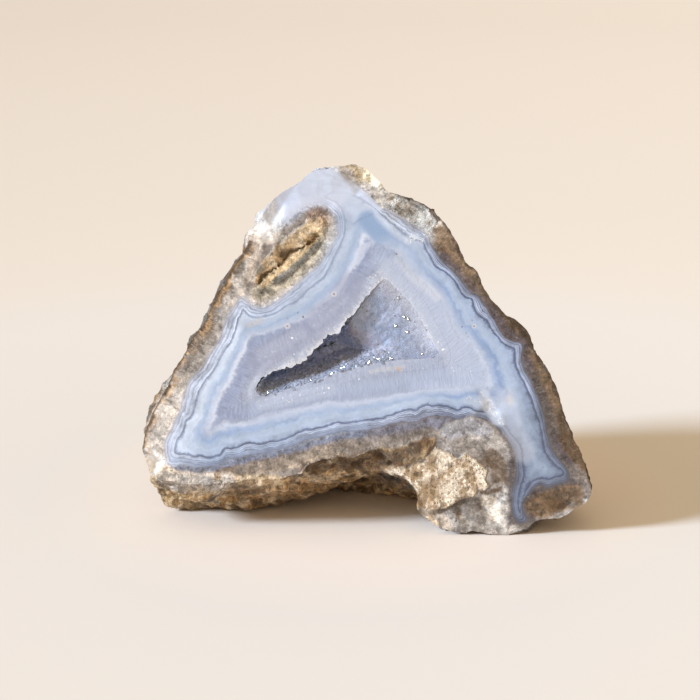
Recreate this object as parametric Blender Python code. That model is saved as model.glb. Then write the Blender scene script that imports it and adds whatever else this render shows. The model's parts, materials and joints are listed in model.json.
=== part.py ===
"""Blue lace agate: a sawn piece of geode whose hollow is lined with small quartz points.

Two solids: the stone, with its sawn face leaning back and its rough underside on three feet, and the
crust of quartz in the hollow.

Outlines lie in the plane of the sawn face. Their first number runs to the right along the face and the
second runs up it, both in millimetres. A depth runs into the stone, square to the face.
"""

import math
import random

import bmesh
import bpy
from mathutils import Matrix, Vector, geometry, noise
from mathutils.bvhtree import BVHTree

MM = 0.001  # outlines, depths and sizes below are in millimetres

# Place of the sawn face: the outlines' zero point in the part's frame, and how far the face leans back.
FACE_LEAN = math.radians(15)
FACE_X = -3.3
FACE_Y = -18.6
FACE_Z = 35.7

# Depths of the stone's sections behind the sawn face, and how far the back bulges past the last one.
LIP_DEPTH = 5.0
BELLY_DEPTH = 15.0
REAR_DEPTH = 27.0
BACK_DEPTH = 38.0
END_DEPTH = 44.0
END_BULGE = 1.6
BULGE_REACH = 8.0
NEAR_RING_DEPTHS = [0.0, 1.6, 3.4, 5.4]

# Sizes of the facets.
FACE_FACET = 3.4
RELIEF_FACET = 1.7
SIDE_FACET = 2.35
SOCKET_FACET = 2.6
CRYSTAL_SPACING = 1.65

# The quartz crust.
CRUST_DEPTH = 1.5
FIT_GAP = 0.32
CRYSTAL_STEEPNESS = 0.75
CRYSTAL_LEAN = 0.14
CORNER_RAYS = 8

# Edge of the sawn face, from the lower left corner over the tip to the lower right corner.
TOP_EDGE = [
    (-41.4, -19.0), (-40.6, -15.4), (-39.5, -12.6), (-38.0, -10.0), (-36.4, -6.8), (-35.0, -4.0),
    (-33.1, -0.8), (-31.3, 2.6), (-29.5, 4.8), (-28.1, 7.6), (-27.1, 10.0), (-24.8, 14.1),
    (-22.3, 18.0), (-20.5, 21.0), (-19.8, 23.6), (-18.1, 26.0), (-15.9, 29.4), (-13.6, 31.4),
    (-10.0, 33.6), (-7.0, 35.7), (-4.0, 36.4), (-1.0, 36.8), (0.8, 37.2), (3.5, 36.0),
    (6.0, 33.5), (7.3, 31.7), (10.1, 31.0), (13.0, 30.0), (16.0, 28.4), (18.0, 26.4),
    (20.2, 23.6), (21.6, 20.8), (23.0, 17.8), (25.4, 15.6), (27.1, 12.0), (29.0, 9.3),
    (31.8, 6.7), (34.6, 4.3), (36.3, 0.8), (38.3, -2.2), (40.0, -4.8), (42.0, -10.0),
    (43.3, -14.6), (44.6, -17.6), (46.1, -20.4), (47.4, -24.8), (48.3, -28.6),
]

# Lower edge from the right corner to the left one: round the lobed foot, over the arch and along the
# broken matrix. Each row holds one point at the face, at the lip, at the belly and at the rear.
LOWER_EDGE = [
    ((47.2, -30.6), (47.0, -30.2), (44.0, -27.0), (36.0, -22.0)),
    ((44.6, -32.2), (44.4, -32.0), (41.0, -29.0), (33.0, -24.5)),
    ((41.2, -33.5), (41.0, -33.8), (37.5, -30.5), (29.5, -26.5)),
    ((37.0, -34.2), (37.0, -35.0), (34.5, -31.5), (26.0, -27.5)),
    ((35.4, -35.6), (35.0, -36.4), (32.0, -32.4), (23.0, -28.4)),
    ((32.6, -36.6), (32.0, -36.9), (29.5, -32.6), (20.5, -29.4)),
    ((30.2, -37.2), (29.5, -37.2), (27.0, -32.4), (18.0, -30.4)),
    ((25.0, -36.2), (25.5, -36.9), (24.0, -32.2), (15.5, -31.2)),
    ((22.6, -36.6), (22.0, -36.7), (21.0, -31.8), (13.0, -31.6)),
    ((18.8, -35.7), (18.5, -35.9), (18.5, -31.0), (10.5, -31.8)),
    ((15.6, -33.9), (15.8, -33.4), (16.2, -29.5), (8.0, -31.8)),
    ((14.0, -32.3), (14.2, -31.0), (14.5, -27.5), (5.5, -31.8)),
    ((13.6, -29.2), (13.4, -28.0), (12.5, -25.6), (3.0, -31.6)),
    ((12.4, -26.6), (11.6, -25.8), (10.0, -24.6), (0.5, -31.2)),
    ((10.0, -25.0), (9.0, -25.0), (7.0, -24.6), (-2.5, -30.4)),
    ((8.2, -22.0), (6.4, -24.2), (4.0, -25.4), (-6.0, -29.4)),
    ((5.6, -19.8), (3.5, -23.6), (1.5, -26.8), (-9.5, -28.2)),
    ((0.6, -21.4), (-1.0, -25.2), (-2.5, -28.4), (-13.0, -27.4)),
    ((-3.0, -21.4), (-4.5, -25.8), (-6.0, -29.8), (-16.5, -27.0)),
    ((-7.6, -22.8), (-8.5, -27.0), (-10.0, -31.2), (-19.5, -26.8)),
    ((-10.0, -24.6), (-11.5, -28.4), (-14.0, -31.8), (-22.5, -26.6)),
    ((-14.0, -25.6), (-16.0, -29.2), (-18.5, -32.6), (-25.5, -26.4)),
    ((-19.0, -25.8), (-21.0, -29.8), (-23.5, -33.8), (-28.0, -26.0)),
    ((-25.0, -26.6), (-26.5, -30.4), (-28.0, -34.2), (-30.2, -25.0)),
    ((-31.0, -26.8), (-32.0, -30.6), (-32.4, -34.2), (-32.0, -23.5)),
    ((-35.6, -26.2), (-36.4, -29.8), (-36.0, -33.2), (-33.2, -21.5)),
    ((-39.0, -25.2), (-39.4, -28.0), (-38.4, -30.2), (-34.0, -19.0)),
    ((-40.7, -23.0), (-40.9, -25.4), (-39.6, -26.6), (-34.4, -16.5)),
]

# How the upper edge draws in with depth: scale about SECTION_CENTRE at the lip, belly and rear.
SECTION_CENTRE = (3.0, -2.0)
LIP_SCALE = 0.998
BELLY_SCALE = 0.965
REAR_SCALE = 0.86
# The last two sections are the rear one, scaled about BACK_CENTRE.
BACK_CENTRE = (1.0, -6.0)
BACK_SCALE = 0.77
END_SCALE = 0.44

# Mouth of the hollow, from its left tip along the overhanging ledge, down the right side and back.
MOUTH = [
    (-18.8, -8.0), (-17.6, -6.0), (-15.6, -4.4), (-12.8, -3.7), (-10.4, -2.8), (-8.6, -1.7),
    (-7.4, -0.3), (-6.0, 1.3), (-4.4, 3.1), (-2.2, 3.5), (-1.0, 5.6), (0.4, 6.9),
    (1.8, 8.8), (3.6, 10.9), (5.6, 13.2), (7.2, 14.2), (9.4, 12.2), (12.6, 9.0),
    (14.8, 5.2), (16.6, 1.6), (17.8, -1.2), (15.0, -1.7), (10.4, -2.0), (4.0, -2.8),
    (-0.6, -3.9), (-4.4, -5.4), (-7.6, -6.4), (-11.0, -7.4), (-14.4, -8.5), (-17.6, -9.0),
]
# Mouth of the socket that holds the crust, about a crust's thickness outside the hollow's mouth.
SOCKET_MOUTH = [
    (-20.6, -8.4), (-18.8, -5.0), (-16.0, -3.0), (-11.2, -1.3), (-7.8, 1.8), (-4.6, 5.0),
    (-0.8, 8.4), (3.0, 12.9), (6.6, 16.0), (9.6, 14.8), (13.8, 10.4), (16.6, 5.4),
    (19.4, -0.2), (18.8, -2.8), (14.6, -3.4), (9.0, -3.9), (3.0, -4.6), (-3.2, -6.8),
    (-9.6, -8.8), (-14.6, -10.3), (-18.6, -10.8),
]
# Depth, scale, shift right and shift up of each ring of the hollow, scaled about HOLLOW_CENTRE.
HOLLOW_CENTRE = (-1.0, 1.5)
HOLLOW_RINGS = [
    (0.0, 1.0, 0.0, 0.0),
    (1.5, 0.98, -0.5, 0.3),
    (3.5, 0.92, -1.3, 0.8),
    (5.5, 0.83, -2.1, 1.3),
    (7.5, 0.71, -2.7, 1.6),
    (9.3, 0.55, -3.0, 1.8),
    (10.6, 0.36, -3.0, 1.8),
]
HOLLOW_FLOOR = 11.2

# Parts of the face that are broken and not sawn flat.
CREAM_MATRIX_DEPTH = 1.1
CREAM_MATRIX_UNEVENNESS = 1.5
CREAM_MATRIX = [
    (8.0, -22.8), (11.6, -22.8), (15.0, -21.6), (17.2, -19.4), (20.0, -20.2), (24.4, -20.8),
    (27.4, -23.4), (27.6, -26.0), (28.6, -27.8), (30.8, -29.4), (30.6, -33.6), (27.4, -35.2),
    (21.0, -35.0), (16.8, -33.0), (14.8, -30.4), (13.8, -27.2), (11.2, -25.0), (9.0, -24.2),
]
INCLUSION_DEPTH = 0.5
INCLUSION_UNEVENNESS = 0.5
INCLUSION = [
    (-17.8, 16.6), (-15.4, 20.0), (-12.2, 22.8), (-8.6, 25.6), (-6.6, 26.6), (-5.6, 24.6),
    (-7.6, 22.2), (-10.8, 19.6), (-13.6, 16.8), (-16.0, 15.2),
]
# Round chips on the face: right, up, radius, depth.
CHIPS = [
    (3.2, 36.4, 4.6, 2.2),
    (-15.8, 28.4, 3.4, 1.1),
    (13.4, 29.0, 4.2, 1.3),
    (28.8, -11.8, 2.6, 0.7),
    (-40.0, -23.4, 3.6, 1.5),
    (-26.4, -27.0, 3.2, 1.0),
    (44.0, -31.0, 4.0, 1.2),
    (17.6, -34.6, 3.4, 1.6),
]
# The open crack of the inclusion.
CRACK = [(-17.6, 15.0), (-15.4, 15.8), (-13.8, 17.4), (-12.2, 19.6), (-9.4, 20.8), (-7.2, 22.6)]
CRACK_WIDTH = 1.3
CRACK_DEPTH = 1.5

# Knobs of the nodule's outer skin: right, up, depth, radius, height.
KNOBS = [
    (-24.0, 2.0, 30.0, 11.0, 2.6), (-12.0, 18.0, 33.0, 10.0, 2.4), (4.0, 24.0, 34.0, 9.0, 2.2),
    (18.0, 12.0, 34.0, 11.0, 2.6), (30.0, -8.0, 28.0, 12.0, 2.8), (-6.0, 2.0, 46.0, 11.0, 2.4),
    (12.0, -8.0, 45.0, 10.0, 2.2), (-22.0, -14.0, 34.0, 10.0, 2.4), (-33.0, -8.0, 18.0, 8.0, 1.6),
    (-16.0, 26.0, 16.0, 8.0, 1.8), (28.0, 10.0, 15.0, 8.0, 1.8), (20.0, -22.0, 34.0, 9.0, 2.0),
    (-2.0, 34.0, 20.0, 8.0, 1.6), (43.0, -18.0, 14.0, 8.0, 1.6),
]
# Flats where the rock broke along a plane: a point on it and the way it faces, both as right, up, depth.
BREAKS = [
    ((-36.0, -6.0, 12.0), (-0.86, 0.22, 0.46)),
    ((38.0, 2.0, 14.0), (0.72, 0.52, 0.46)),
    ((12.0, 30.0, 14.0), (0.42, 0.80, 0.43)),
    ((-24.0, 16.0, 20.0), (-0.70, 0.46, 0.55)),
    ((24.0, 4.0, 38.0), (0.52, 0.30, 0.80)),
    ((-14.0, -4.0, 44.5), (-0.34, 0.10, 0.94)),
    ((-12.0, -26.0, 5.2), (-0.05, -0.72, -0.69)),
]

# The rough skin: swellings, lumps and stepped ledges with seams between them. All fade out at the sawn face.
SWELL_SIZE = 13.0
SWELL_HEIGHT = 1.5
LUMP_SIZE = 5.0
LUMP_HEIGHT = 0.8
LEDGE_SIZE = 8.5
LEDGE_HEIGHT = 1.1
SEAM_DEPTH = 0.9
SEAM_WIDTH = 0.16
SKIN_FADE = 3.5
SKIN_START = 0.25
BREAK_REACH = 3.0
BREAK_SHARE = 0.85
# The broken parts of the face: how far in from their outline they reach full depth, and their grain.
BROKEN_RIM = 1.6
BROKEN_GRAIN = 1.8
FLOOR_SNAP = 0.2

STONE_COLOUR = (0.47, 0.52, 0.62, 1.0)
QUARTZ_COLOUR = (0.62, 0.66, 0.80, 1.0)


def remove_old_objects():
    for old in list(bpy.data.objects):
        bpy.data.objects.remove(old, do_unlink=True)


def face_to_part():
    """Matrix from right, up and depth in millimetres to the part's frame in metres."""
    lean_sin = math.sin(FACE_LEAN)
    lean_cos = math.cos(FACE_LEAN)
    return Matrix.Scale(MM, 4) @ Matrix((
        (1.0, 0.0, 0.0, FACE_X),
        (0.0, lean_sin, lean_cos, FACE_Y),
        (0.0, lean_cos, -lean_sin, FACE_Z),
        (0.0, 0.0, 0.0, 1.0),
    ))


def smooth_step(value):
    value = min(max(value, 0.0), 1.0)
    return value * value * (3.0 - 2.0 * value)


def on_curve(corners, t):
    """Point of the smooth closed curve through the corners; t counts corners."""
    count = len(corners)
    index = math.floor(t)
    f = t - index
    a, b, c, d = (corners[(index + k) % count] for k in (-1, 0, 1, 2))
    square_term = 2 * a - 5 * b + 4 * c - d
    cube_term = 3 * b - a - 3 * c + d
    return 0.5 * (2 * b + (c - a) * f + square_term * f ** 2 + cube_term * f ** 3)


def even_ring(corners, spacing):
    """Points about one spacing apart along the closed curve, each with the share of the corners passed."""
    fine = 12
    steps = [k / fine for k in range(len(corners) * fine + 1)]
    places = [on_curve(corners, t) for t in steps]
    run = [0.0]
    for before, after in zip(places, places[1:]):
        run.append(run[-1] + (after - before).length)
    count = max(8, round(run[-1] / spacing))
    ring = []
    k = 0
    for i in range(count):
        goal = run[-1] * i / count
        while run[k + 1] < goal:
            k += 1
        t = steps[k] + (goal - run[k]) / (run[k + 1] - run[k]) / fine
        ring.append((t / len(corners), on_curve(corners, t)))
    return ring


def at_depth(outline, depth):
    return [Vector((x, y, depth)) for x, y in outline]


def scaled(corners, centre, scale, shift=(0.0, 0.0), depth=None):
    """The corners scaled about a centre and shifted in the plane of the face, at one depth."""
    moved = []
    for corner in corners:
        x = centre[0] + (corner.x - centre[0]) * scale + shift[0]
        y = centre[1] + (corner.y - centre[1]) * scale + shift[1]
        moved.append(Vector((x, y, corner.z if depth is None else depth)))
    return moved


def stone_sections():
    """The corners of the stone's sections, from the sawn face to the back."""
    upper = at_depth(TOP_EDGE, 0.0)
    depths = (0.0, LIP_DEPTH, BELLY_DEPTH, REAR_DEPTH)
    scales = (1.0, LIP_SCALE, BELLY_SCALE, REAR_SCALE)
    sections = []
    for column, (depth, scale) in enumerate(zip(depths, scales)):
        lower = at_depth([row[column] for row in LOWER_EDGE], depth)
        sections.append(scaled(upper, SECTION_CENTRE, scale, depth=depth) + lower)
    rear = sections[-1]
    sections.append(scaled(rear, BACK_CENTRE, BACK_SCALE, depth=BACK_DEPTH))
    sections.append(scaled(rear, BACK_CENTRE, END_SCALE, depth=END_DEPTH))
    return sections


def section_at(sections, depth):
    """The corners of the section at any depth, mixed from its two neighbours."""
    for near, far in zip(sections, sections[1:]):
        if depth <= far[0].z:
            break
    share = (depth - near[0].z) / (far[0].z - near[0].z)
    return [a.lerp(b, share) for a, b in zip(near, far)]


def inside(point, outline):
    """Whether the point lies inside the closed outline, in the plane of the face."""
    crossings = 0
    for (ax, ay), (bx, by) in zip(outline, outline[1:] + outline[:1]):
        if (ay > point[1]) != (by > point[1]):
            if point[0] < ax + (point[1] - ay) / (by - ay) * (bx - ax):
                crossings += 1
    return crossings % 2 == 1


def distance_to(point, line, closed=True):
    """Shortest distance from the point to the line through the corners, in the plane of the face."""
    ends = line[1:] + line[:1] if closed else line[1:]
    shortest = math.inf
    here = Vector((point[0], point[1]))
    for a, b in zip(line, ends):
        a, b = Vector(a[:2]), Vector(b[:2])
        near, share = geometry.intersect_point_line(here, a, b)
        near = a.lerp(b, min(max(share, 0.0), 1.0))
        shortest = min(shortest, (here - near).length)
    return shortest


def broken(point, outline, depth, unevenness):
    """Depth of a broken part of the face below the sawn plane, rising to nothing at its outline."""
    if not inside(point, outline):
        return 0.0
    edge = smooth_step(distance_to(point, outline) / BROKEN_RIM)
    grain = noise.noise(Vector((point[0] / BROKEN_GRAIN, point[1] / BROKEN_GRAIN, depth)))
    return edge * (depth + unevenness * grain)


def face_relief(point):
    """How far the face lies below the sawn plane at a point of it."""
    low = broken(point, CREAM_MATRIX, CREAM_MATRIX_DEPTH, CREAM_MATRIX_UNEVENNESS)
    low += broken(point, INCLUSION, INCLUSION_DEPTH, INCLUSION_UNEVENNESS)
    for x, y, radius, depth in CHIPS:
        away = math.hypot(point[0] - x, point[1] - y) / radius
        low = max(low, depth * smooth_step(1.25 - away))
    crack = distance_to(point, CRACK, closed=False)
    low = max(low, CRACK_DEPTH * smooth_step(1.0 - crack / CRACK_WIDTH))
    return max(low, 0.0)


def add_ring(bm, ring):
    return [(share, bm.verts.new(place)) for share, place in ring]


def stitch(bm, near, far):
    """Triangles between two closed rings of vertices, which may have different counts."""
    i = j = 0
    while i < len(near) or j < len(far):
        next_near = near[(i + 1) % len(near)][0] + (i + 1) // len(near)
        next_far = far[(j + 1) % len(far)][0] + (j + 1) // len(far)
        a, b = near[i % len(near)][1], far[j % len(far)][1]
        if j >= len(far) or (i < len(near) and next_near < next_far):
            i += 1
            bm.faces.new((a, near[i % len(near)][1], b))
        else:
            j += 1
            bm.faces.new((a, far[j % len(far)][1], b))


def loft(bm, rings):
    """A tube of triangles through the rings. Returns the rings of vertices."""
    built = [add_ring(bm, ring) for ring in rings]
    for near, far in zip(built, built[1:]):
        stitch(bm, near, far)
    return built


def grid_points(outline, holes, spacing_at, margin, seed):
    """Points inside the outline and outside the holes, uneven as broken stone is."""
    rng = random.Random(seed)
    low_x, high_x = min(p[0] for p in outline), max(p[0] for p in outline)
    low_y, high_y = min(p[1] for p in outline), max(p[1] for p in outline)
    points = []
    fine = RELIEF_FACET
    rows = int((high_y - low_y) / (fine * 0.87)) + 1
    columns = int((high_x - low_x) / fine) + 1
    for row in range(rows):
        for column in range(columns):
            x = low_x + (column + 0.5 * (row % 2)) * fine + rng.uniform(-0.2, 0.2) * fine
            y = low_y + row * fine * 0.87 + rng.uniform(-0.2, 0.2) * fine
            spacing = spacing_at((x, y))
            if not inside((x, y), outline) or any(inside((x, y), hole) for hole in holes):
                continue
            if min(distance_to((x, y), line) for line in [outline] + holes) < margin * spacing:
                continue
            if all(math.hypot(x - p[0], y - p[1]) > 0.86 * spacing for p in points):
                points.append((x, y))
    return points


def fill_sheet(bm, rim, holes, extra, depth_at):
    """Fills the space between a rim of vertices and the holes' rims with triangles through extra points."""
    loops = [[vert for _, vert in ring] for ring in [rim] + holes]
    known = [vert for loop in loops for vert in loop]
    edges = []
    start = 0
    for loop in loops:
        edges += [(start + k, start + (k + 1) % len(loop)) for k in range(len(loop))]
        start += len(loop)
    verts = known + [bm.verts.new((x, y, depth_at((x, y)))) for x, y in extra]
    flat = [Vector((vert.co.x, vert.co.y)) for vert in verts]
    placed, _, faces, origin, _, _ = geometry.delaunay_2d_cdt(flat, edges, [], 0, 1e-7)
    outline = [(v.co.x, v.co.y) for v in loops[0]]
    gaps = [[(v.co.x, v.co.y) for v in loop] for loop in loops[1:]]
    for face in faces:
        middle = sum((placed[k] for k in face), Vector((0.0, 0.0))) / len(face)
        if inside(middle, outline) and not any(inside(middle, gap) for gap in gaps):
            bm.faces.new([verts[origin[k][0]] for k in face])


def hollow_sheet(bm, mouth, spacing, extra_depth):
    """The wall and floor of the hollow, or of the socket round it. Returns the ring at its mouth."""
    deepen = 1.0 + extra_depth / HOLLOW_FLOOR
    rings = []
    for depth, scale, right, up in HOLLOW_RINGS:
        corners = scaled(at_depth(mouth, 0.0), HOLLOW_CENTRE, scale, (right, up), depth * deepen)
        rings.append(even_ring(corners, spacing))
    built = loft(bm, rings)
    last = [(vert.co.x, vert.co.y) for _, vert in built[-1]]
    floor = grid_points(last, [], lambda point: spacing, 0.6, 5)
    fill_sheet(bm, built[-1], [], floor, lambda point: HOLLOW_FLOOR * deepen)
    return built[0]


def skin_height(place):
    """How far the stone's rough skin stands out at a place: swellings, small lumps and stepped ledges."""
    swell = SWELL_HEIGHT * noise.noise(place / SWELL_SIZE)
    lumps = LUMP_HEIGHT * noise.noise(place / LUMP_SIZE + Vector((7.1, 3.3, 1.9)))
    near, centres = noise.voronoi(place / LEDGE_SIZE)
    ledge = LEDGE_HEIGHT * noise.noise(centres[0] * 5.3)
    seam = SEAM_DEPTH * (1.0 - smooth_step((near[1] - near[0]) / SEAM_WIDTH))
    knobs = 0.0
    for x, y, depth, radius, height in KNOBS:
        away = (place - Vector((x, y, depth))).length / radius
        knobs += height * smooth_step(1.0 - away)
    return swell + lumps + ledge - seam + knobs


def roughen(bm, skin):
    """Gives the skin its lumps and ledges, and breaks it off at the flats."""
    bm.normal_update()
    normals = {vert: vert.normal.copy() for vert in skin}
    for vert in skin:
        fade = smooth_step(vert.co.z / SKIN_FADE)
        vert.co += normals[vert] * skin_height(vert.co) * fade
        vert.co.z = max(vert.co.z, SKIN_START)
    for place, facing in BREAKS:
        facing = Vector(facing).normalized()
        for vert in skin:
            proud = (vert.co - Vector(place)).dot(facing)
            if 0.0 < proud < BREAK_REACH:
                vert.co -= facing * BREAK_SHARE * proud * smooth_step(vert.co.z / SKIN_FADE)


def cut_at_floor(bm):
    """Cuts the stone off at the surface it rests on, so that each foot ends in a flat."""
    for vert in bm.verts:
        if abs(vert.co.z) < FLOOR_SNAP * MM:
            vert.co.z = 0.0
    everything = bm.verts[:] + bm.edges[:] + bm.faces[:]
    bmesh.ops.bisect_plane(
        bm, geom=everything, dist=1e-7, plane_co=(0, 0, 0), plane_no=(0, 0, 1), clear_inner=True
    )
    open_edges = [edge for edge in bm.edges if edge.is_boundary]
    feet = bmesh.ops.edgeloop_fill(bm, edges=open_edges)["faces"]
    bmesh.ops.triangulate(bm, faces=feet, ngon_method="BEAUTY")


def finish_solid(bm, name, colour, roughness):
    """Makes the object, with faces pointing out and its own material."""
    bmesh.ops.recalc_face_normals(bm, faces=bm.faces)
    mesh = bpy.data.meshes.new(name)
    bm.to_mesh(mesh)
    bm.free()
    solid = bpy.data.objects.new(name, mesh)
    bpy.context.scene.collection.objects.link(solid)
    material = bpy.data.materials.new(name)
    material.use_nodes = True
    shader = material.node_tree.nodes["Principled BSDF"]
    shader.inputs["Base Color"].default_value = colour
    shader.inputs["Roughness"].default_value = roughness
    shader.inputs["Metallic"].default_value = 0.0
    mesh.materials.append(material)
    return solid


def offset_socket(bm):
    """Moves the socket's wall off the crust by the fitting gap, and keeps its mouth on the sawn plane."""
    bmesh.ops.recalc_face_normals(bm, faces=bm.faces)
    bm.normal_update()
    floor = max(bm.verts, key=lambda vert: vert.co.z)
    sign = 1.0 if floor.normal.z > 0.0 else -1.0
    moves = [(vert, vert.normal.copy() * sign * FIT_GAP) for vert in bm.verts]
    for vert, move in moves:
        if vert.co.z < 1e-6:
            move.z = 0.0
            move = move.normalized() * FIT_GAP
        vert.co += move


def make_stone():
    bm = bmesh.new()
    socket = hollow_sheet(bm, SOCKET_MOUTH, SOCKET_FACET, CRUST_DEPTH)
    offset_socket(bm)

    sections = stone_sections()
    depths = list(NEAR_RING_DEPTHS)
    while depths[-1] < END_DEPTH - 1.0:
        depths.append(min(depths[-1] + SIDE_FACET * 0.9, END_DEPTH))
    rings = [even_ring(section_at(sections, depth), SIDE_FACET) for depth in depths]
    first = len(bm.verts)
    built = loft(bm, rings)
    last = [(vert.co.x, vert.co.y) for _, vert in built[-1]]
    back = grid_points(last, [], lambda point: SIDE_FACET, 0.6, 11)

    def bulge(point):
        return END_DEPTH + END_BULGE * smooth_step(distance_to(point, last) / BULGE_REACH)

    fill_sheet(bm, built[-1], [], back, bulge)
    bm.verts.ensure_lookup_table()
    skin = [vert for vert in bm.verts[first:] if vert.co.z > 0.0]
    roughen(bm, skin)

    edge = [(vert.co.x, vert.co.y) for _, vert in built[0]]
    mouth = [(vert.co.x, vert.co.y) for _, vert in socket]

    def facet(point):
        return RELIEF_FACET if face_relief(point) > 0.05 else FACE_FACET

    points = grid_points(edge, [mouth], facet, 0.55, 2)
    fill_sheet(bm, built[0], [socket], points, face_relief)
    bmesh.ops.transform(bm, matrix=face_to_part(), verts=bm.verts)
    cut_at_floor(bm)
    return finish_solid(bm, "agate_stone", STONE_COLOUR, 0.4)


def crystal_cells(sheet, bm):
    """One many-sided cell round each vertex of the sheet, as packed crystals meet."""
    sheet.normal_update()
    middles = {face: bm.verts.new(face.calc_center_median()) for face in sheet.faces}
    rim = {}
    for edge in sheet.edges:
        if edge.is_boundary:
            rim[edge] = bm.verts.new((edge.verts[0].co + edge.verts[1].co) / 2)
    cells = []
    for vert in sheet.verts:
        round_it = [middles[face] for face in vert.link_faces] + [rim[e] for e in vert.link_edges if e in rim]
        side = vert.normal.orthogonal().normalized()
        other = vert.normal.cross(side)

        def turn(corner):
            arm = corner.co - vert.co
            return math.atan2(arm.dot(other), arm.dot(side))

        cells.append(bm.faces.new(sorted(round_it, key=turn)))
    return cells


def room_in_front(tree, place, normal):
    """Free distance in front of a place on the hollow's wall, also aslant, where walls meet in a corner."""
    side = normal.orthogonal().normalized()
    other = normal.cross(side)
    room = math.inf
    start = place + normal * 0.25
    rays = [normal]
    for k in range(CORNER_RAYS):
        turn = math.tau * k / CORNER_RAYS
        rays.append((normal * 0.8 + side * math.cos(turn) + other * math.sin(turn)).normalized())
    for ray in rays:
        hit = tree.ray_cast(start, ray)
        if hit[0]:
            room = min(room, hit[3])
    return room


def raise_crystals(bm, cells, tree):
    """Raises each cell to a leaning point with flat faces, lower where another wall is near."""
    rng = random.Random(31)
    rises = []
    for cell in cells:
        size = math.sqrt(cell.calc_area())
        room = room_in_front(tree, cell.calc_center_median(), cell.normal)
        tip = min(CRYSTAL_STEEPNESS * size * rng.uniform(0.6, 1.25), 0.3 * room)
        lean = Vector([rng.uniform(-CRYSTAL_LEAN, CRYSTAL_LEAN) * tip for _ in range(3)])
        rises.append((cell.calc_center_median(), cell.normal * tip + lean))
    for tip in bmesh.ops.poke(bm, faces=cells)["verts"]:
        centre, rise = min(rises, key=lambda plan: (plan[0] - tip.co).length)
        tip.co = centre + rise
        tip.co.z = max(tip.co.z, 0.15)


def make_druse():
    sheet = bmesh.new()
    hollow_sheet(sheet, MOUTH, CRYSTAL_SPACING, 0.0)
    bmesh.ops.recalc_face_normals(sheet, faces=sheet.faces)
    sheet.normal_update()
    floor = max(sheet.verts, key=lambda vert: vert.co.z)
    if floor.normal.z > 0.0:
        bmesh.ops.reverse_faces(sheet, faces=sheet.faces)
        sheet.normal_update()
    tree = BVHTree.FromBMesh(sheet)

    bm = bmesh.new()
    cells = crystal_cells(sheet, bm)
    bm.normal_update()
    raise_crystals(bm, cells, tree)
    rim = ordered_rim(bm)
    outer = hollow_sheet(bm, SOCKET_MOUTH, SOCKET_FACET, CRUST_DEPTH)
    fill_sheet(bm, outer, [rim], [], lambda point: 0.0)
    sheet.free()
    bmesh.ops.transform(bm, matrix=face_to_part(), verts=bm.verts)
    return finish_solid(bm, "quartz_druse", QUARTZ_COLOUR, 0.2)


def ordered_rim(bm):
    """The open edge of the mesh as one closed ring of vertices."""
    edges = {edge for edge in bm.edges if edge.is_boundary}
    edge = edges.pop()
    ring = [edge.verts[0], edge.verts[1]]
    while edges:
        edge = next(e for e in ring[-1].link_edges if e in edges)
        edges.remove(edge)
        ring.append(edge.other_vert(ring[-1]))
    ring.pop()
    return [(0.0, vert) for vert in ring]


def main():
    remove_old_objects()
    make_stone()
    make_druse()


main()
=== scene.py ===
# %% [markdown]
# # Blue lace agate
# A piece of a geode, about 9 cm wide, sawn flat on one side. The saw cut shows lace-like bands of blue
# chalcedony that follow the wall of the nodule, round a hollow lined with small quartz points. The rest is
# rough: brown bark, golden and cream matrix underneath, grey translucent quartz where the rock broke.
#
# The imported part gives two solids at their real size: the stone, and the crust of quartz in the hollow.
# This script keeps their size and place, and makes their looks: a fine rough surface, the drawing of the
# bands, and thousands of small crystals.
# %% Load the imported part
import json
import math
import random

import bpy
import numpy as np
from mathutils import Matrix, Vector, noise
from mathutils.bvhtree import BVHTree
from mathutils.kdtree import KDTree

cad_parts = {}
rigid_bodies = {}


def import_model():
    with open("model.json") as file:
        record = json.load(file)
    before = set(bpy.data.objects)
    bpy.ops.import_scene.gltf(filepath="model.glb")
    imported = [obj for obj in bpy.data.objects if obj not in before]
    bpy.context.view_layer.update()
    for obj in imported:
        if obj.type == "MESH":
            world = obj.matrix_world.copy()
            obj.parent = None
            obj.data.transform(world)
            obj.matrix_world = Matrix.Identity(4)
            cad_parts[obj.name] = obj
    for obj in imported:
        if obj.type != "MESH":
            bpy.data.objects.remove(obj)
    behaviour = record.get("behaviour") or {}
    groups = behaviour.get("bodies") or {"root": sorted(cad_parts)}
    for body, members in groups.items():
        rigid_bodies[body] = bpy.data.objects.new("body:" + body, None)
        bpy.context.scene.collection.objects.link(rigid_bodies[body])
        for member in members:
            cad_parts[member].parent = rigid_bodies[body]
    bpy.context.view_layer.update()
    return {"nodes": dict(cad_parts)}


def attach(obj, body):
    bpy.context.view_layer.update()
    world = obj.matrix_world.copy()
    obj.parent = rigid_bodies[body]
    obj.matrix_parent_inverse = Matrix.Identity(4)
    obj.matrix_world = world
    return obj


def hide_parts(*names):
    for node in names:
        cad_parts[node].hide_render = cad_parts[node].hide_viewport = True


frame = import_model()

# %% [markdown]
# ## Places on the sawn face
# Everything that is drawn on the stone lies on its sawn face, which leans back by 15 degrees. So places are
# given as three numbers in millimetres: right along the face, up the face, and depth into the stone.
# Outlines are traced on the picture, where the face is seen square on, at 5 picture points to a millimetre.
# %% Places on the sawn face
MM = 0.001
FACE_LEAN = math.radians(15)
FACE_MIDDLE = np.array((-0.0033, -0.0186, 0.0357))
RIGHT = np.array((1.0, 0.0, 0.0))
UP = np.array((0.0, math.sin(FACE_LEAN), math.cos(FACE_LEAN)))
INTO = np.array((0.0, math.cos(FACE_LEAN), -math.sin(FACE_LEAN)))
FACE_AXES = np.stack((RIGHT, UP, INTO))
PICTURE_MIDDLE = 350.0
PICTURE_POINTS_PER_MM = 5.0
CAMERA_DISTANCE = 400.0


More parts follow.
